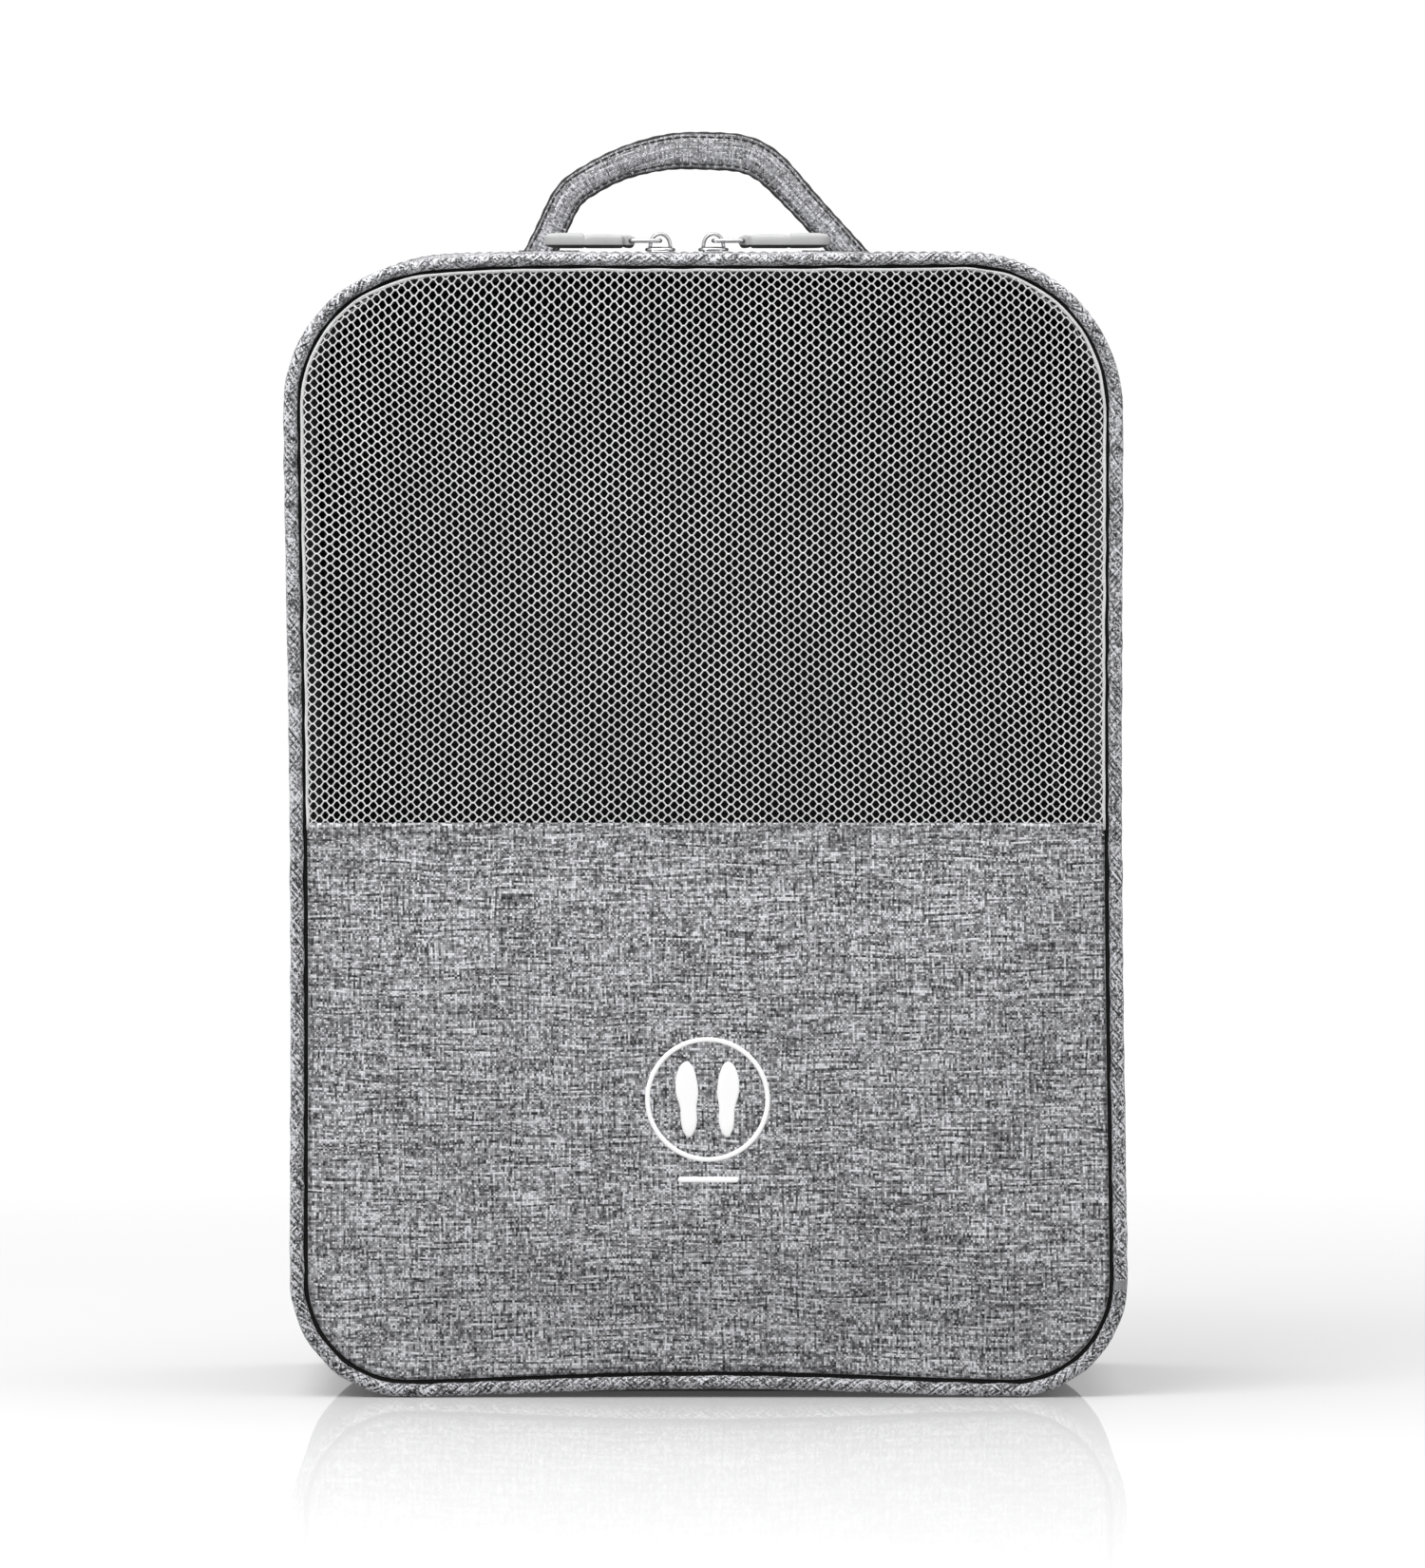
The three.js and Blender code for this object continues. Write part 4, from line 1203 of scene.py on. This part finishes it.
def handle():
    """A padded band with corded edges and two stitched rows a side."""
    line = spline([leg_end(HANDLE_LINE[1], HANDLE_LINE[0])] + HANDLE_LINE
                  + [leg_end(HANDLE_LINE[-2], HANDLE_LINE[-1])]) * MM
    tangent = unit(np.gradient(line, axis=0))
    across = np.column_stack([-tangent[:, 1], tangent[:, 0]])
    length = running_length(line)
    half = (3.95 + 1.0 * arch_shape((length / length[-1] - 0.56) / 0.3)) * MM  # widest past the middle
    loop = np.array(HANDLE_SECTION + [(a, -b) for a, b in HANDLE_SECTION[-2:0:-1]])
    place, thick = loop[:, 0], loop[:, 1] * MM
    wobble = 0.12 * MM * pucker(length, 0 * length)[:, None]
    reach = half[:, None] * place[None, :]
    x = line[:, :1] + across[:, :1] * (reach + wobble)
    z = HEIGHT + line[:, 1:] + across[:, 1:] * (reach + wobble)
    y = -thick[None, :] + 0 * x
    # The grooves and the edges are marked as seam, so the band's cloth is painted darker there as shade.
    in_groove = 1 - smooth(0.0, 0.12, np.abs(np.abs(place) - HANDLE_GROOVE))
    seam = 0.7 * in_groove + 1.3 * smooth(0.86, 1.0, np.abs(place))
    weave = np.stack(np.broadcast_arrays(length[:, None], reach, seam[None, :]), -1)
    faces = grid_faces(len(line), len(loop), close_columns=True, caps=True)
    band = make_piece("handle_band", np.stack([x, y, z], -1).reshape(-1, 3), faces, weave.reshape(-1, 3),
                      None, HEATHER_BAND, replaces=["handle_strap"])
    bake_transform(band)

    def along_band(edge, y):
        return np.column_stack([line[:, 0] + across[:, 0] * half * edge, np.full(len(line), y),
                                HEIGHT + line[:, 1] + across[:, 1] * half * edge])

    sides = 10
    girth = (0.62 + 0.10 * np.sin(length / (0.7 * MM))) * MM
    # The near-black edge cords are partly dark thread and partly painted shade for the band's shaded sides.
    for number, edge in enumerate((-0.97, 0.97), 1):
        points, faces = tube(along_band(edge, 0.0), girth, sides=sides)
        run = np.repeat(length, sides)
        cord = make_piece(f"handle_edge_{number}", points, faces, np.column_stack([run, 0 * run, 0 * run]),
                          None, DARK_THREAD)
        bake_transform(cord)
    for number, (edge, front) in enumerate(((-0.80, -1), (0.80, -1), (-0.80, 1), (0.80, 1)), 1):
        normals = np.tile([0.0, float(front), 0.0], (len(line), 1))
        row = stitches(f"handle_stitches_{number}", along_band(edge, front * 1.04 * MM), normals,
                       None, DARK_THREAD, pitch=2.4 * MM, radius=0.26 * MM)
        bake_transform(row)


def rounded_box(name, low, high, radius, body, material, crown=0.0, **piece):
    """A soft-edged flat block, as a closed cage smoothed by subdivision, with a crowned top."""
    low, high = Vector(low), Vector(high)
    xs = np.array([low.x, low.x + radius, (low.x + high.x) / 2, high.x - radius, high.x])
    ys = np.array([low.y, low.y + radius, (low.y + high.y) / 2, high.y - radius, high.y])
    work = bmesh.new()
    top = [[work.verts.new((x, y, high.z + (crown if 0 < i < 4 and 0 < j < 4 else -radius * 0.4)))
            for i, x in enumerate(xs)] for j, y in enumerate(ys)]
    bottom = [[work.verts.new((x, y, low.z)) for x in xs] for y in ys]
    for j in range(4):
        for i in range(4):
            work.faces.new((top[j][i], top[j][i + 1], top[j + 1][i + 1], top[j + 1][i]))
            work.faces.new((bottom[j][i], bottom[j + 1][i], bottom[j + 1][i + 1], bottom[j][i + 1]))
    border = ([(0, i) for i in range(5)] + [(j, 4) for j in range(1, 5)]
              + [(4, i) for i in range(3, -1, -1)] + [(j, 0) for j in range(3, 0, -1)])
    for (j, i), (m, k) in zip(border, border[1:] + border[:1]):
        work.faces.new((top[j][i], bottom[j][i], bottom[m][k], top[m][k]))
    bmesh.ops.recalc_face_normals(work, faces=work.faces)
    bmesh.ops.subdivide_edges(work, edges=work.edges, cuts=1, use_grid_fill=True)
    points = np.array([v.co[:] for v in work.verts])
    work.verts.index_update()
    faces = [[v.index for v in face.verts] for face in work.faces]
    work.free()
    weave = np.column_stack([points[:, 0], points[:, 1] + points[:, 2], np.zeros(len(points))])
    return round_off(make_piece(name, points, faces, weave, body, material, **piece), "soft edges")


def handle_anchor(side):
    """The handle's end, spread flat and box-stitched to the top."""
    low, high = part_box(f"handle_anchor_{side}")
    patch_low = (low.x, low.y, HEIGHT - 1.2 * MM)
    patch_high = (high.x, high.y, HEIGHT + 0.3 * MM)
    rounded_box(f"anchor_patch_{side}", patch_low, patch_high, 1.2 * MM, "bag_body", HEATHER_BAND,
                crown=0.25 * MM, replaces=[f"handle_anchor_{side}"])
    margin = 1.6 * MM
    corners = [(low.x + margin, low.y + margin), (high.x - margin, low.y + margin),
               (high.x - margin, high.y - margin), (low.x + margin, high.y - margin)]
    route = corners + corners[:1] + [corners[2], corners[1], corners[3]]
    path = []
    for (ax, ay), (bx, by) in zip(route, route[1:]):
        t = np.linspace(0, 1, 12)[:-1]
        path += [(ax + (bx - ax) * s, ay + (by - ay) * s, HEIGHT + 0.52 * MM) for s in t]
    normals = np.tile([0.0, 0.0, 1.0], (len(path), 1))
    stitches(f"anchor_stitches_{side}", np.array(path), normals, "bag_body", DARK_THREAD, pitch=2.2 * MM,
             radius=0.22 * MM)


handle()
handle_anchor("left")
handle_anchor("right")


# ---------------------------------------------------------------- sliders, links and tabs

def repaint(node, material):
    """Gives a CAD node that stays in view its procedural material."""
    materials = frame["nodes"][node].data.materials
    materials.clear()
    materials.append(material)


def soften_edges(node, width):
    """Rounds the edges of a CAD node that stays in view."""
    rounding = frame["nodes"][node].modifiers.new("rounded edges", "BEVEL")
    rounding.width = width
    rounding.segments = 2
    rounding.limit_method = "ANGLE"
    rounding.angle_limit = math.radians(40)
    rounding.harden_normals = True


def pull_link(side):
    """A bent wire loop through the slider's bridge."""
    low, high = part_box(f"pull_link_{side}")
    wire = (high.z - low.z) / 2
    height = (high.z + low.z) / 2
    bend = 1.1 * MM
    left, right = low.x + wire + bend, high.x - wire - bend
    front, rear = low.y + wire * 0.9 + bend, high.y - wire * 0.9 - bend
    corners = [((right, rear), 0), ((left, rear), 90), ((left, front), 180), ((right, front), 270)]
    path = []
    for (x, y), start in corners:
        for angle in np.radians(start + np.linspace(0, 90, 6)):
            path.append((x + bend * math.cos(angle), y + bend * math.sin(angle), height))
    points, faces = tube(path, wire * 0.92, sides=12, closed=True)
    make_piece(f"wire_link_{side}", points, faces, None, f"link_{side}", METAL,
               replaces=[f"pull_link_{side}"])


def slider_plate(x, y, shape, base, thickness, dome):
    """A plate with rolled edges. shape is its outline about the middle."""
    levels = [(0.6, 0), (0.93, 0), (1.0, 0.3 * thickness), (1.0, 0.7 * thickness), (0.92, thickness),
              (0.5, thickness + dome)]
    rings = [np.column_stack([(x, y) + shape * share, np.full(len(shape), base + z)])
             for share, z in levels]
    return np.vstack(rings), grid_faces(len(levels), len(shape), close_columns=True, caps=True)


def join_parts(parts):
    """One list of points and one of faces, out of several."""
    first, points, faces = 0, [], []
    for part_points, part_faces in parts:
        points.append(part_points)
        faces += [[index + first for index in face] for face in part_faces]
        first += len(part_points)
    return np.vstack(points), faces


def slider(side):
    """A zip slider: two domed plates with rolled edges and a post between them, and an arched bridge
    that holds the wire. Its wide nose points to the middle of the bag."""
    low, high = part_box(f"zip_slider_{side}")
    x, y = (low.x + high.x) / 2, (low.y + high.y) / 2
    half_long, half_wide = (high.x - low.x) / 2, (high.y - low.y) / 2
    inward = 1 if side == "left" else -1
    upper, thickness, roll = HEIGHT + 0.3 * MM, 1.0 * MM, 0.55 * MM
    a, b = squared_circle(40, 0.7)
    shape = np.column_stack([inward * a * half_long, b * half_wide * (0.80 + 0.20 * smooth(-1, 1, a))])
    parts = [slider_plate(x, y, shape, upper, thickness, 0.3 * MM),
             slider_plate(x, y, shape, low.z, thickness, 0.0)]
    t = np.linspace(-0.6, 0.6, 8)
    for edge in (-1, 1):
        path = np.column_stack([x + inward * half_long * t, y + edge * (half_wide - roll) * (0.86 + 0.12 * t),
                                np.full(len(t), upper - 0.1 * MM)])
        parts.append(tube(path, roll, sides=10))
    nose = x + inward * 0.55 * half_long
    parts.append(tube([(nose, y, low.z + 0.5 * MM), (nose, y, upper + 0.5 * MM)], 0.6 * MM, sides=12))
    t = np.linspace(0, math.pi, 25)
    rise = high.z - upper - 1.3 * thickness
    bridge = np.column_stack([x - np.cos(t) * 0.66 * half_long, np.full(len(t), y),
                              upper + 0.8 * thickness + np.sin(t) ** 0.8 * rise])
    parts.append(flat_bar(bridge, 1.15 * MM, 0.52 * MM))
    points, faces = join_parts(parts)
    body = make_piece(f"slider_body_{side}", points, faces, None, f"slider_{side}", METAL,
                      replaces=[f"zip_slider_{side}"])
    rounding = body.modifiers.new("rounded edges", "BEVEL")
    rounding.width = 0.12 * MM
    rounding.limit_method = "ANGLE"


def flat_bar(path, half_width, half_thickness, sides=12):
    """A flat bar bent along a path in the X and height plane."""
    tangent = unit(np.gradient(path, axis=0))
    normal = np.column_stack([-tangent[:, 2], np.zeros(len(path)), tangent[:, 0]])
    wide, thin = squared_circle(sides, 0.6)
    across = np.array([0.0, 1.0, 0.0]) * (wide * half_width)[:, None]
    points = path[:, None] + across[None] + normal[:, None] * (thin * half_thickness)[None, :, None]
    return points.reshape(-1, 3), grid_faces(len(path), sides, close_columns=True, caps=True)


def squared_circle(sides, squareness):
    """A loop between a circle (1) and a square (towards 0), as two lists from -1 to 1."""
    turn = full_turn(sides)
    a, b = np.cos(turn), np.sin(turn)
    return np.sign(a) * np.abs(a) ** squareness, np.sign(b) * np.abs(b) ** squareness


def moulding(name, stations, place, body):
    """A rubber piece lofted through stations of (distance, half width, lower, upper)."""
    sides = 24
    wide, tall = squared_circle(sides, 0.55)
    rows = []
    for distance, half_width, lower, upper in stations:
        middle, half_height = (lower + upper) / 2, (upper - lower) / 2
        rows.append([place(distance, half_width * a, middle + half_height * b) for a, b in zip(wide, tall)])
    faces = grid_faces(len(rows), sides, close_columns=True, caps=True)
    blade = make_piece(name, np.array(rows).reshape(-1, 3), faces, None, body, RUBBER)
    return round_off(blade, "moulded edges")


def pull_tab(side):
    """A soft moulded tab: a crowned outer half with a rounded tip, a cross seam, a flatter inner half,
    and a narrow tongue that wraps the wire."""
    low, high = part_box(f"pull_tab_{side}")
    outward = -1 if side == "left" else 1
    bar_x, mid_y, bar_z = joint_place(f"tab_{side}_swing")
    reach = abs((low.x if outward < 0 else high.x) - bar_x)
    half = (high.y - low.y) / 2
    floor_z, flat_z, crown_z = -2.15 * MM, 1.85 * MM, 2.25 * MM

    def place(distance, across, up):
        return bar_x + outward * distance, mid_y + across, bar_z + up

    seam, root, tip = reach * 0.53, 2.0 * MM, 4.4 * MM
    stations = [
        (root, 0.72 * half, 0.7 * floor_z, 0.7 * flat_z),
        (root + 0.3 * MM, 0.92 * half, floor_z, 0.93 * flat_z),
        (root + 1.1 * MM, 0.96 * half, floor_z, flat_z),
        (seam - 0.9 * MM, 0.96 * half, floor_z, flat_z),
        (seam - 0.35 * MM, 0.95 * half, floor_z, 0.94 * flat_z),
        (seam, 0.92 * half, 0.85 * floor_z, 0.55 * flat_z),
        (seam + 0.35 * MM, 0.97 * half, floor_z, 0.93 * crown_z),
        (seam + 1.0 * MM, half, floor_z, crown_z),
        (reach * 0.70, half, floor_z, crown_z),
    ]
    for angle in np.radians(np.linspace(12, 86, 8)):
        shrink = math.cos(angle)
        stations.append((reach - tip + tip * math.sin(angle), half * shrink**0.6,
                         floor_z * shrink**0.5, crown_z * (0.25 + 0.75 * shrink**0.6)))
    blade = moulding(f"tab_blade_{side}", stations, place, f"tab_{side}")
    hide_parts(f"pull_tab_{side}")
    tongue = 1.15 * MM
    wrap = [
        (-1.35 * MM, 0.5 * tongue, -0.4 * MM, 0.5 * MM),
        (-1.2 * MM, 0.9 * tongue, -0.9 * MM, 1.0 * MM),
        (-0.6 * MM, tongue, floor_z, 1.3 * MM),
        (0.6 * MM, tongue, floor_z, flat_z),
        (root + 0.4 * MM, tongue, 0.9 * floor_z, 0.9 * flat_z),
        (root + 0.8 * MM, 0.8 * tongue, -0.5 * MM, 0.5 * MM),
    ]
    moulding(f"tab_tongue_{side}", wrap, place, f"tab_{side}")


for side in ("left", "right"):
    slider(side)
    repaint(f"zip_end_{side}", METAL)
    soften_edges(f"zip_end_{side}", 0.4 * MM)
    pull_link(side)
    pull_tab(side)


# ---------------------------------------------------------------- the printed emblem

def on_panel(x, z, lift):
    """Points of the lower panel's outer surface, moved out by lift."""
    depth = depth_inside(x, z, SEAM)
    out = lower_panel_relief(x, z, depth) + lift
    return soften(np.column_stack([x, PANEL_FACE - out, z]))


def print_patch(name, rings, closed_middle):
    """A flat printed shape made of nested closed loops of (x, z) points, raised off the cloth."""
    loops = np.array(rings)
    count, around = loops.shape[:2]
    flat = loops.reshape(-1, 2)
    edge = np.zeros((count, around), bool)
    edge[0] = True
    if not closed_middle:
        edge[-1] = True
    lift = np.where(edge.ravel(), 0.02 * MM, 0.20 * MM)
    points = on_panel(flat[:, 0], flat[:, 1], lift)
    faces = grid_faces(count, around, close_columns=True)
    if closed_middle:
        faces.append(list(range((count - 1) * around, count * around)))
    weave = np.column_stack([flat, np.zeros(len(flat))])
    piece = make_piece(name, points, faces, weave, "front_flap", PRINT, outward=False)
    return thicken(piece, 0.12 * MM, offset=-1.0)


def emblem():
    """A ring round a pair of plain sole prints, with a short bar below."""
    turn = full_turn(96)
    circle = np.column_stack([np.cos(turn), np.sin(turn)])
    centre = np.array([0.0, BADGE_HEIGHT])
    radii = BADGE_RADIUS - np.array([0, 0.2, 1.15, 1.35]) * MM
    ring = print_patch("emblem_ring", [centre + circle * r for r in radii], closed_middle=False)
    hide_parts("badge_print")
    for number, side in enumerate((-1, 1), 1):
        sole_turn = full_turn(64)
        length, width = 10.6 * MM, 3.5 * MM
        along = np.sin(sole_turn)
        pinch = 1 - 0.26 * np.exp(-((along + 0.25) / 0.30) ** 2)
        lean = 0.35 * MM * np.sin(along * 2.4)
        shape = np.column_stack([np.cos(sole_turn) * width * pinch * (0.90 + 0.12 * along) + lean,
                                 along * length])
        shape[:, 0] *= side
        middle = centre + np.array([side * 5.6 * MM, 0])
        shares = (1.0, 0.95, 0.7, 0.4, 0.12)
        print_patch(f"emblem_sole_{number}", [middle + shape * s for s in shares], closed_middle=True)
    bar_turn = full_turn(48)
    half_bar, half_line = 8.5 * MM, 0.8 * MM
    bar = np.column_stack([np.sign(np.cos(bar_turn)) * (half_bar - half_line) + np.cos(bar_turn) * half_line,
                           np.sin(bar_turn) * half_line])
    middle = centre - np.array([0, BADGE_RADIUS + 5.0 * MM])
    print_patch("emblem_bar", [middle + bar * np.array([a, b]) for a, b in
                               ((1, 1), (0.985, 0.7), (0.97, 0.1))], closed_middle=True)


emblem()


# ---------------------------------------------------------------- inside the bag

def stiff(points):
    """The divider's board keeps its pieces as they are drawn."""
    return np.array(points, float).reshape(-1, 3)


def divider_cover(name, facing, node):
    """One padded side of the divider, crowned by the board's foam skin, with a row of stitches."""
    low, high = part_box(node)
    inset = HALF_WIDTH - high.x
    y = low.y if facing < 0 else high.y

    def relief(x, z, depth):
        crown = cloth_height(divider_cloth, x, z, HEIGHT) * smooth(0, 20 * MM, depth)
        return np.minimum(crown * 0.5, 2.5 * MM) + 0.1 * MM * pucker(x, z) * np.exp(-depth / (12 * MM))

    face_piece(name, inset, y - facing * 0.2 * MM, relief, 0.6 * MM, facing=facing, shape=stiff,
               body="divider", material=DIVIDER_CLOTH, replaces=[node])
    points, _, _ = outline("ring", inset + 7 * MM)
    height = relief(points[:, 0], points[:, 1], depth_inside(points[:, 0], points[:, 1], inset))
    path = np.column_stack([points[:, 0], y + facing * height, points[:, 1]])
    out = np.tile([0.0, float(facing), 0.0], (len(path), 1))
    stitches(f"{name}_stitches", path, out, "divider", INNER_THREAD)


def divider_edge():
    """Tape folded over the divider's edge, all the way round."""
    low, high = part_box("divider_binding")
    middle, half_deep, half_wide = (low.y + high.y) / 2, (high.y - low.y) / 2, 1.4 * MM
    centre = HALF_WIDTH - high.x + half_wide
    section = [(centre - half_wide * math.cos(a), middle + half_deep * math.sin(a)) for a in full_turn(12)]
    strip("divider_edge_tape", "ring", section, shape=stiff,
          body="divider", material=BINDING, replaces=["divider_binding"])


divider_cover("divider_cover_front", -1, "divider_front_cover")
divider_cover("divider_cover_rear", 1, "divider_rear_cover")
divider_edge()
repaint("divider_board", BOARD)
repaint("bottom_board", BOARD)

hook_low, hook_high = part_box("divider_hook_strip")
rounded_box("hook_strip", hook_low, hook_high, 1.5 * MM, "bag_body", HOOKS, crown=0.1 * MM,
            replaces=["divider_hook_strip"])


def care_label():
    """A blank satin label, folded once and sewn in along its top edge."""
    low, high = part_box("care_label")
    rows, columns = 16, 10
    t, s = np.meshgrid(np.linspace(0, 1, rows), np.linspace(0, 1, columns), indexing="ij")
    curl = 3.0 * MM * t**2 + 0.6 * MM * np.sin(t * 5 + s * 2)
    across, down = s * (high.y - low.y), t * (high.z - low.z)
    points = np.stack([low.x + 0.4 * MM + curl, low.y + across, high.z - down], -1)
    weave = np.stack([across, down, 0 * t], -1)
    made = make_piece("label", points.reshape(-1, 3), grid_faces(rows, columns), weave.reshape(-1, 3),
                      "bag_body", SATIN, replaces=["care_label"], outward=False)
    thicken(made, 0.25 * MM, offset=1.0)


care_label()


# ---------------------------------------------------------------- floor, light and camera

SURROUND = 1.03  # strength of the white that the camera sees all round, just past full white


def floor():
    """A polished white floor. Close to the bag it takes shadows and a faint reflection; further out
    it fades into the white surround."""
    half = 30.0
    corners = [(-half, -half, 0), (half, -half, 0), (half, half, 0), (-half, half, 0)]
    mesh = bpy.data.meshes.new("studio_floor")
    mesh.from_pydata(corners, [], [(0, 1, 2, 3)])
    s = Shader("studio floor")
    x, y, _ = s.split(s.place())
    away = s.node("ShaderNodeVectorMath", {0: s.join(x, y)}, output="Value", operation="LENGTH")
    far = s.node("ShaderNodeMapRange", {"Value": away, "From Min": 0.45, "From Max": 1.1},
                 interpolation_type="SMOOTHSTEP")
    grazing = s.math("POWER", s.node("ShaderNodeLayerWeight", {"Blend": 0.5}, output="Facing"), 6.0)
    near = s.stretch(away, 0.05, 1.4, 0.66, 0.0)
    shine = s.math("MULTIPLY", grazing, near)
    seen = s.node("ShaderNodeLightPath", {}, output="Is Camera Ray")
    paper = s.node("ShaderNodeBsdfDiffuse", {"Color": s.colour(s.stretch(seen, 0.0, 1.0, 0.35, 0.80))})
    haze = s.node("ShaderNodeEmission", {"Color": (1, 1, 1, 1), "Strength": s.times(seen, 0.10)})
    matt = s.node("ShaderNodeAddShader", {0: paper, 1: haze})
    gloss = s.node("ShaderNodeBsdfGlossy", {"Color": (0.62, 0.62, 0.62, 1), "Roughness": 0.02})
    lit = s.node("ShaderNodeMixShader", {0: shine, 1: matt, 2: gloss})
    glow_strength = s.stretch(seen, 0.0, 1.0, 0.45, SURROUND)
    glow = s.node("ShaderNodeEmission", {"Color": (1, 1, 1, 1), "Strength": glow_strength})
    s.tree.links.new(s.node("ShaderNodeMixShader", {0: far, 1: lit, 2: glow}),
                     s.tree.nodes["Material Output"].inputs["Surface"])
    s.tree.nodes.remove(s.surface)
    mesh.materials.append(s.material)
    made = bpy.data.objects.new("studio_floor", mesh)
    bpy.context.scene.collection.objects.link(made)


def area_light(name, place, aim, size, power):
    data = bpy.data.lights.new(name, "AREA")
    data.shape = "RECTANGLE"
    data.size, data.size_y = size
    data.energy = power
    lamp = bpy.data.objects.new(name, data)
    lamp.location = place
    lamp.rotation_mode = "QUATERNION"
    lamp.rotation_quaternion = (Vector(aim) - Vector(place)).to_track_quat("-Z", "Y")
    bpy.context.scene.collection.objects.link(lamp)


def studio():
    """Soft white light all round, with a key from the upper left. The camera sees plain white behind."""
    world = bpy.data.worlds.new("studio")
    world.use_nodes = True
    n = Nodes(world.node_tree)
    from_camera = n.node("ShaderNodeLightPath", {}, output="Is Camera Ray")
    from_gloss = n.node("ShaderNodeLightPath", {}, output="Is Glossy Ray")
    background = n.tree.nodes["Background"]
    white_seen = n.math("MAXIMUM", from_camera, from_gloss)
    n.put(background.inputs["Strength"], n.stretch(white_seen, 0.0, 1.0, 0.50, SURROUND))
    n.put(background.inputs["Color"], (1.0, 1.0, 1.0, 1.0))
    bpy.context.scene.world = world
    bpy.context.scene.view_settings.view_transform = "Standard"
    middle = (0, 0, HEIGHT / 2)
    area_light("key", (-0.5, -0.9, 1.3), middle, (0.9, 0.9), 14)
    area_light("fill", (1.5, -1.5, 0.9), middle, (1.6, 1.6), 5)
    area_light("overhead", (0.0, 0.2, 2.0), middle, (1.8, 1.8), 25)


def camera():
    """A long lens in front of the bag, a little above it."""
    frame_height = 439 * MM  # what the picture spans at the front face
    distance = 4.0
    elevation = math.radians(1.9)
    aim = Vector((2 * MM, FRONT, 172.2 * MM))
    data = bpy.data.cameras.new("camera")
    data.lens = data.sensor_width * distance / frame_height
    data.clip_start, data.clip_end = 0.1, 50
    made = bpy.data.objects.new("camera", data)
    back = Vector((0, -math.cos(elevation), math.sin(elevation)))
    made.location = aim + back * distance
    made.rotation_mode = "QUATERNION"
    made.rotation_quaternion = (-back).to_track_quat("-Z", "Y")
    bpy.context.scene.collection.objects.link(made)
    bpy.context.scene.camera = made


floor()
studio()
camera()

bpy.context.view_layer.update()
